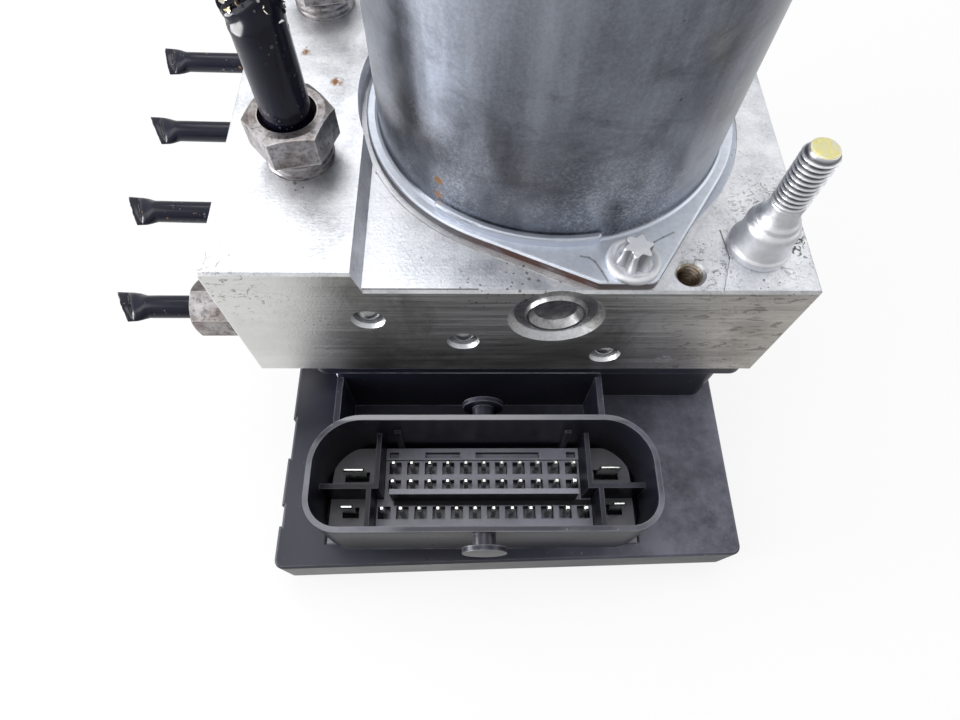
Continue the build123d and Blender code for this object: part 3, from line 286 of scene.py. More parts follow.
# ---------------------------------------------------------------- metals, coatings and plastics
def block_aluminium():
    """Milled and sawn aluminium: bright satin top, darker drawn sides, pits, stains and rust."""
    m = Material("block_aluminium", Metallic=1.0)
    step = m.times(m.along("Z", 67.8, 68.0), m.facing("X", 0.3, 0.8))
    up = m.most(m.facing("Z", 0.3, 0.8), step)
    # frosty, slightly blotchy milled top
    cloud = m.noise(160, 6, 0.62)
    frost = m.noise(1500, 3, 0.7)
    top = m.ramp(m.weighed((frost, 0.35), (cloud, 0.65)),
                 (0.34, (0.56, 0.575, 0.61)), (0.5, (0.76, 0.775, 0.81)), (0.66, (0.90, 0.91, 0.935)))
    # sides: fine lines along X, dark oxide in streaks and blotches, and a painted reflection that makes both
    # ends brighter
    lines = m.noise(30, 5, 0.7, m.stretched(1.0, 60.0, 60.0))
    streak = m.noise(9, 6, 0.72, m.stretched(1.0, 14.0, 14.0))
    side = m.ramp(m.weighed((lines, 0.5), (streak, 0.5)),
                  (0.34, (0.34, 0.34, 0.33)), (0.50, (0.66, 0.66, 0.645)), (0.64, (0.90, 0.90, 0.88)))
    side = m.coat(side, (0.30, 0.29, 0.275), m.span(m.noise(34, 5, 0.7, distortion=0.6), 0.50, 0.66), 0.7)
    # painted reflection: the sides are lighter towards both ends
    ends = m.most(m.along("X", -38.0, -47.0), m.along("X", 38.0, 46.0, 0.0, 0.5))
    side = m.coat(side, (0.97, 0.97, 0.95), ends, 0.75)
    # warm and pitted towards the right end
    right = m.along("X", 16.0, 30.0)
    side = m.mix(m.times(right, 0.8), side, (1.0, 0.955, 0.90), "MULTIPLY")
    worm = m.span(m.noise(230, 4, 0.65, m.stretched(1.0, 2.6, 2.6), 1.6), 0.55, 0.62)
    side = m.coat(side, (0.20, 0.185, 0.17), worm, right, 0.65)
    spot = m.times(m.near(FACE_SPOT, 1.3, 0.9), m.span(m.noise(620, 5, 0.8, distortion=1.2), 0.46, 0.54))
    side = m.coat(side, (1.0, 0.98, 0.96), spot, 0.9)
    for line in m.strokes(FACE_SCRATCH, 0.08, 0.2):
        side = m.mix(line, side, (0.95, 0.95, 0.93))
    colour = m.mix(up, side, top)
    # a painted bluish shadow of the flange on the face beside it
    flange_shadow = m.times(m.from_axis(0, 0, 39.3, 38.8), m.along("X", 2.0, 12.0))
    colour = m.coat(colour, (0.42, 0.46, 0.56), flange_shadow, up, 0.8)
    # black specks all over, and the patches of dirt
    uneven = m.math("MULTIPLY_ADD", m.noise(2400, 2), 0.35, m.cells(760))
    speck = m.math("LESS_THAN", uneven, m.span(m.noise(60, 2), 0.45, 0.75, 0.12, 0.40))
    dirt = m.times(speck, 0.7)
    for centre, radius, soft, (scale, detail, roughness, distortion), threshold, strength in DIRT:
        patch = m.span(m.noise(scale, detail, roughness, distortion=distortion), threshold, 0.62)
        dirt = m.most(dirt, m.times(m.near(centre, radius, soft), patch, strength))
    colour = m.mix(dirt, colour, (0.07, 0.065, 0.06))
    # small rust spots on the land
    for centre, radius in LAND_RUST:
        spot = m.times(m.near(centre, radius, 0.9), m.span(m.noise(900, 3), 0.35, 0.55))
        colour = m.mix(spot, colour, (0.30, 0.15, 0.07))
    # the top is rougher where it is dirty, and the land's step is the dullest
    rough = m.math("ADD", m.span(cloud, 0.3, 0.7, 0.38, 0.52), m.times(dirt, 0.3))
    rough_side = m.span(lines, 0.3, 0.7, 0.33, 0.48)
    rough = m.math("MULTIPLY_ADD", m.math("SUBTRACT", rough, rough_side), up, rough_side)
    rough = m.math("MULTIPLY_ADD", step, 0.25, rough)
    sparkle = m.span(m.cells(1500), 0.5, 0.0)
    grain = m.bump(m.math("MULTIPLY_ADD", sparkle, 0.5, frost), 0.06, 0.5)
    lined = m.bump(lines, 0.05, 0.5, grain)
    scratches = m.math("LESS_THAN", m.cells(14, m.stretched(1.0, 9.0, 9.0), "DISTANCE_TO_EDGE"), 0.004)
    scratched = m.bump(m.times(scratches, m.span(m.noise(25), 0.52, 0.6)), 0.12, -0.6, lined)
    return m.set(Base_Color=colour, Roughness=rough, Normal=scratched)


def can_steel():
    """Drawn can: bluish grey, long faint streaks up the wall, cloudy sparkling patches."""
    m = Material("can_steel", Metallic=1.0)
    cloud = m.noise(38, 6, 0.66, m.stretched(1.0, 1.0, 0.45), 0.4)
    streak = m.noise(120, 4, 0.6, m.stretched(1.0, 1.0, 0.06))
    grain = m.noise(1900, 3, 0.8)
    tone = m.weighed((cloud, 0.55), (streak, 0.28), (grain, 0.17))
    colour = m.ramp(tone, (0.34, (0.085, 0.093, 0.115)), (0.48, (0.215, 0.232, 0.275)),
                    (0.66, (0.48, 0.515, 0.60)))
    # pale sparkling bloom low on the wall
    bloom = m.times(m.along("Z", 92.0, 72.0), m.span(cloud, 0.44, 0.58),
                    m.span(m.noise(1900, 2, 0.9), 0.48, 0.60))
    colour = m.coat(colour, (0.86, 0.88, 0.92), bloom, 0.7)
    # warm worn band low on the wall, and dark specks
    middle = m.math("SUBTRACT", 1.0, m.math("ABSOLUTE", m.along("Z", 70.0, 98.0, -1.0, 1.0)), clamp=True)
    band = m.times(middle, m.span(m.noise(22, 3), 0.4, 0.65))
    colour = m.coat(colour, (0.30, 0.28, 0.25), band, 0.35)
    stain = m.noise(42, 6, 0.72, m.stretched(1.0, 1.0, 2.6), 0.8)
    colour = m.coat(colour, (0.055, 0.055, 0.055), m.span(stain, 0.50, 0.68), 0.45)
    film = m.noise(30, 5, 0.7, m.stretched(1.0, 1.0, 1.6), 1.2)
    colour = m.coat(colour, (0.36, 0.39, 0.45), m.span(film, 0.56, 0.70), 0.45)
    specks = m.math("LESS_THAN", m.cells(260), m.span(m.noise(45, 2), 0.5, 0.8, 0.0, 0.24))
    colour = m.coat(colour, (0.03, 0.03, 0.035), specks, 0.6)
    # painted shade low on the wall above the flange, and a painted highlight along its foot
    colour = m.mix(m.along("Z", 70.5, 77.5, 0.5, 0.0), colour, (0.055, 0.060, 0.078))
    foot = m.times(m.along("Z", 72.4, 71.9), m.from_axis(0, 0, 35.3, 35.6))
    colour = m.coat(colour, (0.70, 0.74, 0.83), foot, 0.85)
    for spot in CAN_RUST:
        mark = m.times(m.near(spot, 0.6, 0.5), m.span(m.noise(800, 3), 0.25, 0.42))
        colour = m.mix(mark, colour, (0.38, 0.19, 0.08))
    rough = m.math("MULTIPLY_ADD", foot, 0.18, m.span(tone, 0.34, 0.62, 0.24, 0.36))
    normal = m.bump(m.math("MULTIPLY_ADD", grain, 0.5, m.times(m.noise(500, 4), 0.5)), 0.04, 0.35)
    wavy = m.bump(m.noise(36, 2, 0.5, m.stretched(1.0, 1.0, 0.2)), 0.12, 0.35, normal)
    return m.set(Base_Color=colour, Roughness=rough, Normal=wavy)


def plated_steel(name, dark, light, rough_low, rough_high, rust_edge=False):
    """Zinc-plated steel in two tones, with a fine grain."""
    m = Material(name, Metallic=1.0)
    grain = m.noise(900, 3, 0.7)
    tone = m.weighed((m.noise(140, 6, 0.65), 0.6), (grain, 0.4))
    colour = m.ramp(tone, (0.34, dark), (0.64, light))
    if rust_edge:
        # a dull edge, rusty in front and less so to the right, and painted shade along the lines pressed
        # round the bolt
        side = m.facing("Z", 0.35, 0.15)
        colour = m.coat(colour, (0.13, 0.12, 0.12), side, 0.8)
        patchy = m.span(m.noise(190, 5, 0.7, m.stretched(1.0, 1.0, 3.0)), 0.30, 0.52)
        colour = m.coat(colour, (0.125, 0.055, 0.038), side, m.along("Y", -30.0, -37.0), patchy,
                        m.along("X", 4.0, 12.0, 1.0, 0.35), 0.9)
        for corners in PRESSED_EDGE_SHADE_LINES:
            for line in m.strokes(corners, 0.08, 0.28):
                colour = m.coat(colour, (0.16, 0.17, 0.19), line, m.facing("Z", 0.6, 0.9), 0.6)
    return m.set(Base_Color=colour, Roughness=m.span(tone, 0.3, 0.7, rough_low, rough_high),
                 Normal=m.bump(grain, 0.03, 0.4))


def stud_steel():
    """Bright plating, with painted shade in the roots of the thread and between the lobes of the bolt heads.
    """
    m = Material("stud_steel", Metallic=1.0)
    grain = m.noise(900, 3, 0.7)
    colour = m.ramp(m.weighed((m.noise(140, 6, 0.65), 0.6), (grain, 0.4)),
                    (0.34, (0.74, 0.76, 0.80)), (0.64, (0.93, 0.94, 0.97)))
    thread = m.times(m.from_axis(*STUD_POS, 2.90, 2.62), m.along("Z", 80.0, 80.6), m.along("Z", 92.0, 91.5))
    lobe_valley_shade = m.times(m.from_axis(*EAR_SCREW, 3.1, 2.2), m.facing("Z", 0.8, 0.5))
    # painted shade in the thread's roots and between the lobes of the bolt heads
    colour = m.mix(m.most(m.times(thread, 0.9), m.times(lobe_valley_shade, 0.75)), colour, (0.10, 0.095, 0.10))
    # the bolt's upward faces reflect less of the dark side of the room
    crown = m.times(m.from_axis(*EAR_SCREW, 5.4, 5.0), m.facing("Z", 0.6, 0.9))
    return m.set(Base_Color=colour, Metallic=m.span(crown, 0.0, 1.0, 1.0, 0.35),
                 Roughness=m.span(grain, 0.3, 0.7, 0.40, 0.52), Normal=m.bump(grain, 0.03, 0.4))


def nut_steel():
    """Dull brown-grey nut plating, worn bright along its edges, with rust-brown blotches."""
    m = Material("nut_steel", Metallic=1.0)
    cloud = m.noise(220, 6, 0.7)
    colour = m.ramp(cloud, (0.34, (0.19, 0.16, 0.15)), (0.5, (0.38, 0.36, 0.36)), (0.68, (0.58, 0.56, 0.58)))
    brown = m.span(m.noise(90, 4, 0.6), 0.50, 0.66)
    colour = m.coat(colour, (0.27, 0.16, 0.11), brown, 0.15)
    pitted = m.span(m.noise(1100, 3, 0.75), 0.50, 0.62)
    colour = m.coat(colour, (0.07, 0.06, 0.06), pitted, 0.55)
    wear = m.times(m.edge_wear(0.5), m.span(m.noise(400, 4), 0.32, 0.50))
    colour = m.mix(wear, colour, (0.80, 0.76, 0.72))
    rough = m.span(cloud, 0.3, 0.7, 0.48, 0.32)
    normal = m.bump(m.noise(700, 5, 0.7), 0.06, 0.45)
    return m.set(Base_Color=colour, Roughness=rough, Normal=normal)


def pipe_coating():
    """Glossy black pipe coating with fine dust and brown and gold specks."""
    m = Material("pipe_coating", Specular_IOR_Level=0.35)
    dust = m.math("LESS_THAN", m.cells(900), m.span(m.noise(120, 2), 0.5, 0.75, 0.0, 0.35))
    colour = m.coat((0.006, 0.006, 0.016), (0.12, 0.12, 0.14), dust, 0.7)
    brown = m.math("LESS_THAN", m.cells(330), m.span(m.noise(70, 3), 0.5, 0.75, 0.0, 0.30))
    colour = m.mix(brown, colour, (0.17, 0.095, 0.04))
    worn = m.times(m.edge_wear(0.4), m.span(m.noise(300, 4), 0.40, 0.58))
    colour = m.coat(colour, (0.42, 0.40, 0.36), worn, 0.8)
    rough = m.span(m.noise(150, 4), 0.35, 0.7, 0.14, 0.30)
    normal = m.bump(m.noise(220, 3, 0.5), 0.06, 0.5)
    return m.set(Base_Color=colour, Roughness=rough, Normal=normal)


def ecu_plastic(name, marks, base, dusty, tint):
    """Glass-filled plastic: fine moulded grain, dust, and pale scuffs along the edges that are partly a
    painted highlight; marks adds what has a set place.
    """
    m = Material(name, Specular_IOR_Level=0.4)
    cloud = m.noise(45, 6, 0.7)
    colour = m.ramp(cloud, (0.3, (base * 0.62, base * 0.62, base * tint * 0.65)),
                    (0.7, (base * 1.15, base * 1.15, base * tint * 1.2)))
    up = m.facing("Z", 0.3, 0.9)
    haze = m.times(up, m.span(m.noise(26, 5, 0.62, distortion=0.8), 0.42, 0.70))
    colour = m.coat(colour, (0.155, 0.158, 0.235), haze, 0.45 * dusty)
    # pale worn edges, partly a painted highlight along the rims
    worn = m.times(m.edge_wear(0.45), m.span(m.noise(110, 4), 0.30, 0.55))
    colour = m.coat(colour, (0.30, 0.30, 0.345), worn, 0.85)
    dust = m.math("LESS_THAN", m.cells(520), m.span(m.noise(30, 2), 0.42, 0.8, 0.0, 0.20))
    colour = m.coat(colour, (0.36, 0.36, 0.35), dust, dusty)
    colour, shade = marks(m, colour, cloud, up)
    rough = m.math("ADD", m.span(cloud, 0.3, 0.7, 0.26, 0.38), m.times(haze, 0.15))
    normal = m.bump(m.noise(1400, 2, 0.6), 0.025, 0.5)
    uneven = m.bump(m.noise(60, 3, 0.5), 0.06, 0.35, normal)
    return m.set(Base_Color=colour, Roughness=rough, Normal=uneven,
                 Specular_IOR_Level=m.span(shade, 0.0, 1.0, 0.4, 0.1))


def housing_marks(m, colour, cloud, up):
    """Scuffs on the control unit's housing, painted highlights on its rims and a painted glint, and its
    connector: painted shade inside, with pale pads on the floor.
    """
    # painted highlight, patchy, along the top of the connector's rim
    rim = m.times(m.along("Z", 33.2, 33.6), m.along("Y", -53.5, -54.5))
    colour = m.coat(colour, (0.17, 0.17, 0.20), rim, m.span(m.noise(70, 3), 0.42, 0.70))
    scuffed = m.times(m.near(SCUFFED_CORNER, 14.0, 34.0), m.span(cloud, 0.34, 0.60))
    colour = m.coat(colour, (0.26, 0.26, 0.33), scuffed, up, 0.75)
    # painted shade inside the connector, darkest towards its floor
    inside = m.times(m.between("X", *SOCKET_X), m.between("Y", *SOCKET_Y))
    shade = m.times(inside, m.along("Z", SOCKET_FLOOR_Z, SOCKET_TOP_Z, 1.0, 0.35),
                    m.along("Z", SOCKET_TOP_Z + 0.2, SOCKET_TOP_Z))
    colour = m.coat(colour, (0.003, 0.003, 0.005), shade, 0.85)
    pads = m.times(m.between("Z", *PAD_Z, soft=0.15), up, m.along("Y", -56.0, -56.5), inside)
    colour = m.coat(colour, (0.33, 0.33, 0.36), pads, m.span(cloud, 0.25, 0.6, 0.75, 0.95))
    # painted highlight along the back rim of the connector
    back_rim_highlight = m.times(m.along("Z", 33.3, 33.6), m.along("Y", -56.6, -56.0), m.along("Y", -54.0, -54.5))
    colour = m.coat(colour, (0.42, 0.42, 0.45), back_rim_highlight, m.along("X", -10.0, 12.0, 0.85, 0.35))
    # painted sheen along the top of the front wall, stronger to the left
    front_wall_sheen = m.times(m.along("Y", -79.8, -80.0), m.along("Z", 32.5, 31.5), m.math("SUBTRACT", 1.0, up))
    colour = m.coat(colour, (0.10, 0.10, 0.10), front_wall_sheen, m.along("X", -25.0, 5.0, 0.75, 0.25))
    # painted glint, pale and bluish, down the neck's rounded corner
    for line in m.strokes(GLINT, 1.2, 2.4):
        colour = m.coat(colour, (0.62, 0.66, 0.84), line, m.span(m.noise(500, 4), 0.30, 0.44))
    return colour, shade


def guide_marks(m, colour, cloud, up):
    """Painted shade on the walls of the guide in the connector, and a painted shadow in front of its tongue.
    """
    # painted shade on the guide's walls
    wall = m.span(m.math("ABSOLUTE", m.part(m.normal, "Z")), 0.6, 0.3)
    # painted shadow in front of the tongue
    tongue_shadow = m.times(m.between("Y", *TONGUE_GAP_Y, soft=0.1),
                  m.along("X", TONGUE_GAP_X - 0.2, TONGUE_GAP_X + 0.2),
                  m.along("Z", 16.0, 15.7))
    shade = m.most(wall, tongue_shadow)
    return m.coat(colour, (0.004, 0.004, 0.005), shade, 0.92), shade


def turned_steel(name, dark, light):
    """Turned or drawn steel with a mottled dull film."""
    m = Material(name, Metallic=1.0)
    mottle = m.noise(420, 6, 0.72)
    colour = m.ramp(mottle, (0.36, dark), (0.62, light))
    rough = m.span(mottle, 0.3, 0.7, 0.38, 0.22)
    normal = m.bump(m.noise(900, 4, 0.7), 0.04, 0.5)
    return m.set(Base_Color=colour, Roughness=rough, Normal=normal)


def dull(name, dark, light, rough):
    """A non-metal in two close tones with a fine uneven surface."""
    m = Material(name)
    cloud = m.noise(240, 5, 0.65)
    colour = m.ramp(cloud, (0.35, dark), (0.65, light))
    return m.set(Base_Color=colour, Roughness=m.span(cloud, 0.3, 0.7, rough, rough + 0.12),
                 Normal=m.bump(m.noise(960, 3), 0.04, 0.5))


def coloured_metal(name, dark, light, rough_low, rough_high):
    """Plain metal in two tones, such as copper wire or a stamped stack."""
    m = Material(name, Metallic=1.0)
    cloud = m.noise(300, 5, 0.65)
    return m.set(Base_Color=m.ramp(cloud, (0.35, dark), (0.65, light)),
                 Roughness=m.span(cloud, 0.3, 0.7, rough_low, rough_high), Normal=m.bump(cloud, 0.03, 0.4))


MATERIALS = {
    "block_aluminium": block_aluminium(),
    "can_steel": can_steel(),
    "flange_steel": plated_steel("flange_steel", (0.66, 0.70, 0.78), (0.86, 0.90, 0.97), 0.50, 0.62, True),
    "bright_steel": plated_steel("bright_steel", (0.72, 0.74, 0.78), (0.92, 0.93, 0.96), 0.30, 0.44),
    "nut_steel": nut_steel(),
    "plug_steel": turned_steel("plug_steel", (0.30, 0.30, 0.31), (0.66, 0.66, 0.67)),
    "pipe_coating": pipe_coating(),
    "ecu_plastic": ecu_plastic("ecu_plastic", housing_marks, 0.018, 0.35, 1.75),
    "guide_plastic": ecu_plastic("guide_plastic", guide_marks, 0.32, 0.6, 1.15),
    "terminal_tin": coloured_metal("terminal_tin", (0.50, 0.52, 0.48), (0.86, 0.87, 0.84), 0.22, 0.36),
    "magnet_ferrite": dull("magnet_ferrite", (0.05, 0.05, 0.055), (0.09, 0.09, 0.095), 0.6),
    "lamination_steel": coloured_metal("lamination_steel", (0.30, 0.31, 0.33), (0.50, 0.51, 0.53), 0.35, 0.5),
    "copper": coloured_metal("copper", (0.50, 0.22, 0.11), (0.78, 0.42, 0.25), 0.25, 0.4),
    "bearing_steel": coloured_metal("bearing_steel", (0.50, 0.51, 0.53), (0.70, 0.71, 0.73), 0.16, 0.28),
    "spring_steel": coloured_metal("spring_steel", (0.30, 0.30, 0.32), (0.52, 0.53, 0.55), 0.28, 0.4),
    "carbon": dull("carbon", (0.03, 0.03, 0.03), (0.07, 0.07, 0.07), 0.5),
    "brush_plate_plastic": dull("brush_plate_plastic", (0.12, 0.09, 0.06), (0.19, 0.14, 0.10), 0.5),
    "gasket_rubber": dull("gasket_rubber", (0.015, 0.015, 0.015), (0.035, 0.035, 0.035), 0.6),
    "board_green": dull("board_green", (0.02, 0.13, 0.05), (0.04, 0.20, 0.08), 0.35),
    "valve_steel": coloured_metal("valve_steel", (0.48, 0.48, 0.46), (0.68, 0.68, 0.65), 0.2, 0.32),
    "coil_plastic": dull("coil_plastic", (0.05, 0.05, 0.05), (0.10, 0.10, 0.10), 0.45),
}
for subpart in frame["record"]["subparts"]:
    node = NODES[subpart["node"]]
    node.data.materials.clear()
    node.data.materials.append(MATERIALS[subpart["material_slot"]])


# ---------------------------------------------------------------- mesh helpers
def put(name, data, place=None):
    """A new object in the scene."""
    thing = bpy.data.objects.new(name, data)
    if place is not None:
        thing.matrix_world = place
    bpy.context.scene.collection.objects.link(thing)
    return thing


def piece(name, mesh_maker, material, body="unit", smooth=35):
    """A new visible piece from bmesh code written in millimetres."""
    shape = bmesh.new()
    mesh_maker(shape)
    bmesh.ops.remove_doubles(shape, verts=shape.verts, dist=0.0005)
    bmesh.ops.recalc_face_normals(shape, faces=shape.faces)
    bmesh.ops.scale(shape, vec=(MM, MM, MM), verts=shape.verts)
    mesh = bpy.data.meshes.new(name)
    shape.to_mesh(mesh)
    shape.free()
    thing = put(name, mesh)
    if smooth:
        mesh.shade_smooth()
        mesh.set_sharp_from_angle(angle=radians(smooth))
    mesh.materials.append(MATERIALS[material] if isinstance(material, str) else material)
    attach(thing, body)
    return thing


def held(value):
    """The value, held between 0 and 1."""
    return min(1.0, max(0.0, value))


def ring(shape, x, y, z, count, radius, turn=0.0):
    """Corners round an upright line at x, y; radius gives the distance at an angle, which turn adds to."""
    corners = []
    for k in range(count):
        angle = 2 * pi * k / count
        out = radius(angle)
        corners.append(shape.verts.new((x + out * cos(angle + turn), y + out * sin(angle + turn), z)))
    return corners


def join_rings(shape, rings):
    """Walls between neighbouring rings, of which a ring with a single corner makes a point."""
    for low, high in zip(rings, rings[1:]):
        count = max(len(low), len(high))
        for k in range(count):
            after = (k + 1) % count
            corners = (low[k % len(low)], low[after % len(low)], high[after % len(high)], high[k % len(high)])
            unique = list(dict.fromkeys(corners))
            if len(unique) > 2:
                shape.faces.new(unique)


def spin(shape, profile, origin, segments=72):
    """Turns a (radius, height) profile round the upright axis through origin."""
    x, y, z = origin
    join_rings(shape, [ring(shape, x, y, z + height, segments if radius else 1, lambda angle: radius)
                       for radius, height in profile])


# ---------------------------------------------------------------- stud and bolts
THREAD_START = 12.4         # heights of the stud are over the machined face
THREAD_RUNOUT = 1.5
THREAD_STEP = 0.08
THREAD_SIDES = 72


def thread_radius(z, share, end):
    """Radius of the thread at a height and a share of a turn; it fades out at both ends."""
    ridge = 1 - abs(2 * ((z / THREAD_PITCH - share) % 1.0) - 1)      # 0 at the root, 1 at the crest
    ridge = held((ridge - 0.12) / 0.72)
    fade = held((z - THREAD_START) / THREAD_RUNOUT)
    finish = held((end - z) / (0.5 * THREAD_PITCH))
    return STUD_ROOT_R + (STUD_R - STUD_ROOT_R) * (ridge * finish + (1 - fade) * (1 - ridge))


def threaded_stud(shape):
    """The stud with a real helical thread on its upper end."""
    x, y = STUD_POS
    foot = [(0, -10.5), (2.9, -10.5), (2.9, 0), (5.6, 0), (5.75, 0.3), (5.75, 1.35), (5.6, 1.6),
            (5.3, 1.75), (5.12, 2.0), (4.85, 5.4), (4.9, 6.4), (4.78, 7.0), (4.45, 7.5), (4.1, 7.7),
            (3.98, 7.9), (4.0, 8.5), (3.86, 8.8), (3.5, 9.0), (3.22, 9.5), (3.05, 10.2), (2.95, 11.2),
            (2.9, THREAD_START)]
    spin(shape, foot, (x, y, FACE_Z), segments=96)
    top = STUD_TOP_Z - FACE_Z
    end = top - 0.7
    steps = int((end - THREAD_START) / THREAD_STEP)
    rings = []
    for step in range(steps + 1):
        z = THREAD_START + (end - THREAD_START) * step / steps
        rings.append(ring(shape, x, y, FACE_Z + z, THREAD_SIDES,
                          lambda angle: thread_radius(z, angle / (2 * pi), end)))
    join_rings(shape, rings)
    tip = [(STUD_ROOT_R, end), (2.35, top - 0.2), (2.1, top), (0, top)]
    spin(shape, tip, (x, y, FACE_Z), segments=THREAD_SIDES)


stud = piece("stud_with_thread", threaded_stud, stud_steel(), smooth=40)
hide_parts("mounting_stud")


def paint_material():
    """Thin yellow-white paint, worn through to the steel."""
    m = Material("stud_paint")
    wear = m.noise(700, 4, 0.65)
    colour = m.ramp(wear, (0.38, (0.80, 0.80, 0.70)), (0.52, (0.86, 0.78, 0.28)), (0.66, (0.90, 0.86, 0.50)))
    return m.set(Base_Color=colour, Roughness=0.45, Normal=m.bump(wear, 0.08, 0.5))


def paint_dab(shape):
    """A thin cap of paint on the stud's end."""
    profile = [(0, 0.10), (1.5, 0.09), (2.0, 0.03), (2.14, -0.02), (2.3, -0.16)]
    spin(shape, profile, (*STUD_POS, STUD_TOP_Z), segments=48)


piece("stud_paint_dab", paint_dab, paint_material())


STAR_TURN = radians(12)
STAR_OUTER, STAR_INNER = 2.75, 1.92
STAR_SIDES = 96
# height over the flange and scale of the outline
STAR_LEVELS = ((0.7, 1.25), (1.2, 1.23), (2.0, 1.14), (3.0, 1.04), (3.8, 1.0), (4.7, 1.0), (4.9, 0.97),
               (5.0, 0.92), (5.0, 0.86))


def star_radius(angle):
    """Outline of the external six-lobe head."""
    return STAR_INNER + (STAR_OUTER - STAR_INNER) * (0.5 + 0.5 * cos(6 * angle)) ** 1.1


def star_bolt(shape, x, y):
    """Flanged bolt head: dished round flange with the six-lobe drive standing on it."""
    base = FLANGE_TOP_Z
    washer = [(0, 0.0), (4.7, 0.0), (4.95, 0.2), (5.0, 0.6), (4.92, 0.95), (4.7, 1.22), (4.3, 1.36),
              (3.9, 1.30), (3.6, 1.05), (3.45, 0.75), (0, 0.75)]
    spin(shape, washer, (x, y, base))
    head = [ring(shape, x, y, base + z, STAR_SIDES, lambda angle: scale * star_radius(angle), STAR_TURN)
            for z, scale in STAR_LEVELS]
    join_rings(shape, head)
    shape.faces.new(head[-1])
    spin(shape, [(0, -13.5), (2.4, -13.5), (2.4, 0.05), (0, 0.05)], (x, y, base), segments=32)


def both_bolts(shape):
    """The bolt in front and its twin on the far side of the motor."""
    star_bolt(shape, *EAR_SCREW)
    star_bolt(shape, -EAR_SCREW[0], -EAR_SCREW[1])


bolts = piece("star_head_bolts", both_bolts, stud.data.materials[0], smooth=38)
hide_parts("motor_screws")


# ---------------------------------------------------------------- pipes and their nuts
# reach from the block, slant of the cut and twist of the pinch in degrees, lean of the end to the rear
WHEEL_PIPES = ((25.5, 30, 6, 0.0), (29.4, 24, -3, 0.6), (29.8, 26, -10, 0.6), (32.3, 14, -15, 0.6))
WHEEL_PIPE_FORM = {"radius": 2.38, "seat": 10.9, "pinch": 7.0, "spread": 3.75, "rough": 0.05, "ragged": 0.15}
MC_PIPE_R = 4.3
MC_PIPE_REACH = (33.8, 32.8)
MC_PIPE_FORM = {"radius": MC_PIPE_R, "seat": 12.9, "pinch": 8.0, "spread": 4.75, "slant": -38, "twist": 10,
                "rough": 0.5, "ragged": 1.8}
PIPE_SIDES = 64
NUT_CREST_Z = (0.35, 1.55, 2.75)
HOLE_TURNS = 9
FLAKE_COUNT = 46
FLAKE_Z = (24.5, 33.0)
FLAKE_THICKNESS = 0.12


def crimped_pipe(shape, place, radius, seat, reach, pinch, spread, slant, twist, rough, ragged, lean=0.0):
    """A cut pipe: round, then flattened over the pinch, with a crease and an aslant, slit end.

    Along +Z of place; rough is the height of its dents and ragged that of its torn rim."""
    thin = radius * 0.42
    start = reach - pinch
    # share of the pinch, half width, half thickness
    sections = [(0.0, radius, radius), (0.22, radius * 1.02, radius * 0.95),
                (0.45, spread * 0.86, radius * 0.72), (0.62, spread * 0.95, thin * 1.5),
                (0.70, spread * 0.98, thin * 1.15), (0.76, spread, thin * 0.72), (0.82, spread, thin * 0.95),
                (0.92, spread * 1.01, thin), (1.0, spread * 1.02, thin * 0.96)]
    stations = [(h, 0.0, radius, radius) for h in range(-int(seat), int(start), 2)]
    for (t0, a0, b0), (t1, a1, b1) in zip(sections, sections[1:]):
        for step in range(4):
            k = step / 4
            stations.append((start, t0 + (t1 - t0) * k, a0 + (a1 - a0) * k, b0 + (b1 - b0) * k))
    stations.append((start, *sections[-1]))
    slope = tan(radians(slant))
    rings = []
    for base, t, a, b in stations:
        corners = []
        for k in range(PIPE_SIDES):
            angle = 2 * pi * k / PIPE_SIDES
            x, y = a * cos(angle), b * sin(angle)
            z = base + t * (pinch - x * slope)
            dent = rough * held(t * 3) * noise.noise(Vector((x, y * 1.6, z)) * 0.45 + Vector((reach, 0, 0)))
            torn = ragged * t ** 6 * noise.noise(Vector((x * 1.3, y * 2.0, reach)))
            grow = 1 + dent / max(a, 1.0)
            corners.append(Vector((x * grow, y * grow + dent * 0.4, z + torn)))
        rings.append(corners)
    # the end: wall edge, then a narrow slit that goes down between the two pressed walls
    last = rings[-1]
    middle = sum(last, Vector()) / PIPE_SIDES
    for shrink_x, shrink_y, down in ((0.86, 0.42, 0.05), (0.82, 0.30, -0.9), (0.75, 0.22, -2.2)):
        rings.append([Vector((middle.x + (v.x - middle.x) * shrink_x, middle.y + (v.y - middle.y) * shrink_y,
                              v.z + (middle.z - v.z) * (1 - shrink_x) + down)) for v in last])
    spun = Matrix.Rotation(radians(twist), 4, "Z")
    made = []
    for corners in rings:
        bent = Vector((-lean * max(0.0, corners[0].z / reach) ** 1.5, 0, 0))
        made.append([shape.verts.new(place @ (spun @ v + bent)) for v in corners])
    join_rings(shape, made)
    shape.faces.new(made[0])
    shape.faces.new(made[-1])


def side_place(y):
    """Frame of a wheel port: +Z out of the block's left face, +X towards the front."""
    return Matrix(((0, 0, -1, BLOCK_LEFT), (-1, 0, 0, y), (0, 1, 0, WHEEL_PORT_Z), (0, 0, 0, 1)))


def cut_pipe(node, place, **form):
    """The cut pipe that stands for a plain one of the CAD model."""
    thing = piece(f"cut_{node}", lambda shape: crimped_pipe(shape, place, **form), "pipe_coating", smooth=50)
    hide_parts(node)


for number, (y, (reach, slant, twist, lean)) in enumerate(zip(WHEEL_PORT_Y, WHEEL_PIPES), start=1):
    cut_pipe(f"wheel_pipe_{number}", side_place(y), reach=reach, slant=slant, twist=twist, lean=lean,
             **WHEEL_PIPE_FORM)
for side, (x, y), reach in zip(("front", "rear"), MC_PORTS, MC_PIPE_REACH):
    cut_pipe(f"mc_pipe_{side}", Matrix.Translation((x, y, LAND_Z)), reach=reach, **MC_PIPE_FORM)


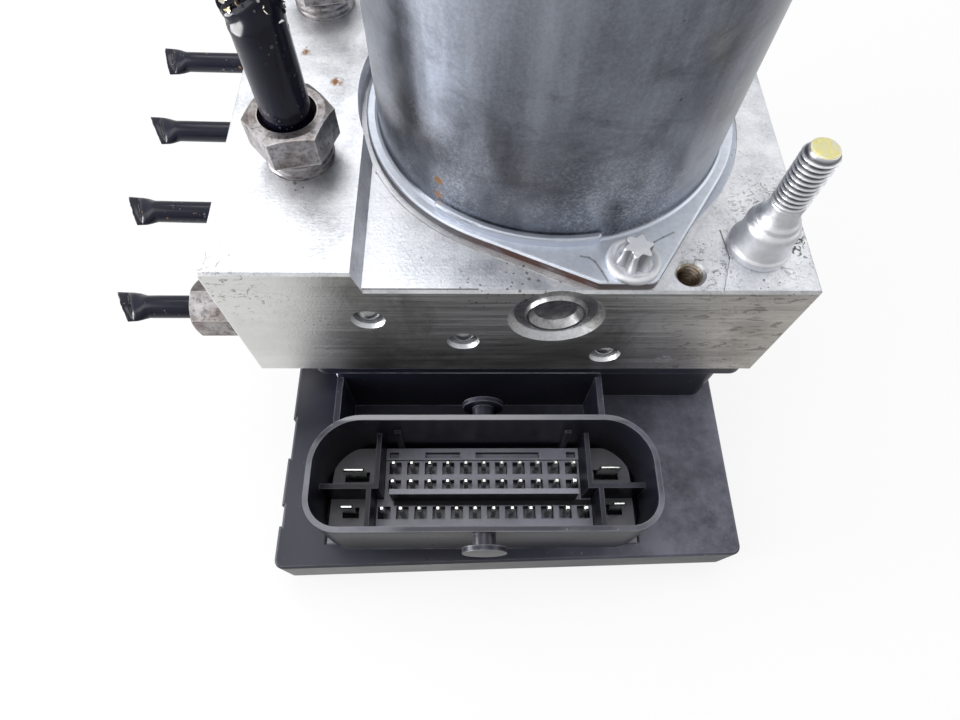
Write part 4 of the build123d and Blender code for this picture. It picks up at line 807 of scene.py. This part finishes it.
def nut_threads(shape):
    """Thread crests that show between each larger nut and the block."""
    low, crest = MC_NUT_R - 0.05, MC_NUT_R + 0.22
    for x, y in MC_PORTS:
        for z in NUT_CREST_Z:
            spin(shape, [(low, z), (crest, z + 0.28), (crest, z + 0.42), (low, z + 0.75)], (x, y, LAND_Z))


piece("mc_nut_threads", nut_threads, turned_steel("thread_steel", (0.10, 0.095, 0.10), (0.34, 0.33, 0.34)),
      smooth=30)


def hole_thread(shape):
    """Thread ridges down the wall of the tapped hole."""
    wall, crest = TAPPED_HOLE_R + 0.02, TAPPED_HOLE_R - 0.35
    profile = [(wall, -0.6)]
    for turn in range(HOLE_TURNS):
        z = -0.9 - turn
        profile += [(crest, z), (crest, z - 0.15), (wall, z - 0.5)]
    spin(shape, profile + [(0, -9.4)], (*TAPPED_HOLE_POS, FACE_Z), segments=64)


piece("tapped_hole_thread", hole_thread, turned_steel("hole_steel", (0.16, 0.11, 0.07), (0.62, 0.55, 0.47)),
      smooth=25)


def flakes(shape):
    """Torn scraps of coating and bright metal round the cut end of the front supply pipe."""
    x, y = MC_PORTS[0]
    for _ in range(FLAKE_COUNT):
        angle = random.uniform(0, 2 * pi)
        height = random.uniform(*FLAKE_Z)
        out = MC_PIPE_R * random.uniform(0.92, 1.1)
        middle = Vector((x + out * cos(angle), y + out * sin(angle) * 0.6, LAND_Z + height))
        size = random.uniform(0.25, 0.8)
        turn = Matrix.Rotation(random.uniform(0, 6), 3,
                               Vector((random.random(), random.random(), 0.4)).normalized())
        corners = []
        for k in range(6):
            reach = size * random.uniform(0.55, 1.1)
            corners.append(Vector((reach * cos(k), reach * sin(k), random.uniform(-0.12, 0.12))))
        low = [shape.verts.new(middle + turn @ v) for v in corners]
        high = [shape.verts.new(middle + turn @ (v + Vector((0, 0, FLAKE_THICKNESS)))) for v in corners]
        join_rings(shape, [low, high])
        shape.faces.new(low)
        shape.faces.new(high[::-1])


def flake_material():
    """Scraps in dark coating, brown lacquer and bright gold-tinted metal."""
    m = Material("pipe_flakes")
    kind = m.noise(320, 2, 0.5)
    colour = m.ramp(kind, (0.40, (0.012, 0.012, 0.015)), (0.50, (0.14, 0.09, 0.05)),
                    (0.56, (0.62, 0.52, 0.30)), (0.66, (0.85, 0.84, 0.80)))
    return m.set(Base_Color=colour, Metallic=m.span(kind, 0.50, 0.56),
                 Roughness=m.span(kind, 0.4, 0.6, 0.30, 0.18))


piece("torn_pipe_flakes", flakes, flake_material(), smooth=0)


# ---------------------------------------------------------------- coiled springs in place of the plain ones
# node, joint, direction of the stroke, wire radius, turns, stroke
SPRINGS = (
    ("pump_spring_front", "pump_stroke_front", (0, -1, 0), 0.45, 6, 2.0),
    ("pump_spring_rear", "pump_stroke_rear", (0, 1, 0), 0.45, 6, 2.0),
    ("accumulator_spring_front", "accumulator_stroke_front", (1, 0, 0), 0.70, 5, 6.0),
    ("accumulator_spring_rear", "accumulator_stroke_rear", (1, 0, 0), 0.70, 5, 6.0),
)
SPRING_STEPS = 36
SPRING_SIDES = 10


def coil(shape, place, radius, wire_r, turns, length):
    """A compression spring from z = 0 to length, with a closed turn at either end."""
    closed = 2 * wire_r * 1.04
    open_pitch = (length - 2 * wire_r - 2 * closed) / (turns - 2)
    rings = []
    for step in range(turns * SPRING_STEPS + 1):
        turn = step / SPRING_STEPS
        shut = min(turn, 1) + max(turn - (turns - 1), 0)
        height = wire_r + closed * shut + open_pitch * min(max(turn - 1, 0), turns - 2)
        along = 2 * pi * turn
        rings.append([])
        for side in range(SPRING_SIDES):
            round_wire = 2 * pi * side / SPRING_SIDES
            out = radius + wire_r * cos(round_wire)
            corner = Vector((out * cos(along), out * sin(along), height + wire_r * sin(round_wire)))
            rings[-1].append(shape.verts.new(place @ corner))
    join_rings(shape, rings)
    shape.faces.new(rings[0][::-1])
    shape.faces.new(rings[-1])


for node, joint, axis, wire_r, turns, stroke in SPRINGS:
    low, high = (Vector(corner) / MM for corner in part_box(node))
    middle, size, axis = (low + high) / 2, high - low, Vector(axis)
    length = abs(size.dot(axis))
    place = Vector((0, 0, 1)).rotation_difference(axis).to_matrix().to_4x4()
    place.translation = middle - axis * length / 2
    spring = piece(node.replace("spring", "coil"),
                   lambda shape: coil(shape, place, size.z / 2 - wire_r, wire_r, turns, length),
                   "spring_steel", smooth=50)
    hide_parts(node)
    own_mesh(spring)


# ---------------------------------------------------------------- camera, light and floor
PHOTO_SIZE = (960, 720)
FOCAL_PIXELS = 611.7
CAMERA_AT = (-16.61, -103.56, 159.80)
CAMERA_RIGHT = (0.99984, -0.0075, 0.0163)
CAMERA_UP = (-0.0005, 0.8974, 0.4414)
CAMERA_BACK = (-0.0179, -0.4413, 0.8972)
# name, place, point that it faces, width, power in watts
LAMPS = (
    ("key", (-80, 200, 640), (0, 0, 60), 460, 1.85),
    ("fill", (-520, -160, 420), (0, 0, 50), 380, 0.8),
    ("low_left", (-420, -90, 90), (0, 0, 80), 200, 2.0),
    ("side", (560, 60, 380), (0, 0, 50), 360, 0.6),
)
FLOOR_HALF = 3000.0
FLOOR_GREY = 0.88
FLOOR_GLOW = 0.84                   # share of white in what the camera and clear reflections see of the floor
# the room was darker towards the front right: direction, two distances along it, light lost at them
FLOOR_DIM = ((0.45, -0.90, 0.0), -0.040, 0.125, 0.0, 0.68)
# direction, two shares of it that a ray may have, strength of the surround at them
WORLD_DIM = ((0.40, -0.90, -0.10), 0.1, 0.95, 0.78, 0.22)
WORLD_GREYS = ((0.0, 0.30), (0.50, 0.34), (0.72, 0.55), (1.0, 1.05))      # from straight down to straight up
WORLD_GLOSSY = 0.45
WHITE = (1, 1, 1, 1)


def camera():
    """The main view's camera."""
    data = bpy.data.cameras.new("camera")
    data.sensor_width = 36.0
    data.lens = FOCAL_PIXELS * data.sensor_width / PHOTO_SIZE[0]
    data.clip_start = 0.005
    turn = Matrix((CAMERA_RIGHT, CAMERA_UP, CAMERA_BACK)).transposed().to_4x4()
    bpy.context.scene.camera = put("camera", data, Matrix.Translation([c * MM for c in CAMERA_AT]) @ turn)


def area_light(name, at, towards, size, power):
    """A soft square lamp."""
    data = bpy.data.lights.new(name, "AREA")
    data.size = size * MM
    data.energy = power
    turn = (Vector(towards) - Vector(at)).to_track_quat("-Z", "Y").to_matrix().to_4x4()
    put(name, data, Matrix.Translation(Vector(at) * MM) @ turn)


def backdrop_material():
    """White as the camera and clear reflections see it; keeps the object's soft shadow."""
    material = bpy.data.materials.new("pale_floor")
    material.use_nodes = True
    n = Nodes(material.node_tree)
    n.tree.nodes.clear()
    direction, *dim = FLOOR_DIM
    loss = n.span(n.dot(n.new("TexCoord").outputs["Object"], direction), *dim)
    strength = n.math("SUBTRACT", 1.0, n.times(n.new("LightPath").outputs["Is Glossy Ray"], loss))
    diffuse = n.new("BsdfDiffuse", (FLOOR_GREY, FLOOR_GREY, FLOOR_GREY, 1))
    glow = n.new("Emission", WHITE, strength)
    mixer = n.new("MixShader", n.times(n.clear_rays(), FLOOR_GLOW), diffuse.outputs[0], glow.outputs[0])
    n.new("OutputMaterial", mixer.outputs[0])
    return material


def floor():
    """A wide plane under the part."""
    half = FLOOR_HALF * MM
    mesh = bpy.data.meshes.new("floor")
    corners = [(-half, -half, 0), (half, -half, 0), (half, half, 0), (-half, half, 0)]
    mesh.from_pydata(corners, [], [(0, 1, 2, 3)])
    mesh.materials.append(backdrop_material())
    thing = put("floor", mesh)


def world():
    """Plain studio surround: white to the camera, soft grey to the object, brighter overhead."""
    sky = bpy.data.worlds.new("studio")
    sky.use_nodes = True
    n = Nodes(sky.node_tree)
    n.tree.nodes.clear()
    ray = n.new("TexCoord").outputs["Generated"]
    height = n.math("MULTIPLY_ADD", n.part(ray, "Z"), 0.5, 0.5)
    stops = [(position, (grey * 0.985, grey * 0.99, grey)) for position, grey in WORLD_GREYS]
    colour = n.ramp(height, *stops)
    direction, *dim = WORLD_DIM
    soft = n.new("Background", colour, n.span(n.dot(ray, direction), *dim))
    white = n.new("Background", WHITE)
    mixer = n.new("MixShader", n.clear_rays(WORLD_GLOSSY), soft.outputs[0], white.outputs[0])
    n.new("OutputWorld", mixer.outputs[0])
    bpy.context.scene.world = sky


camera()
floor()
world()
for lamp in LAMPS:
    area_light(*lamp)
bpy.context.scene.view_settings.view_transform = "Standard"
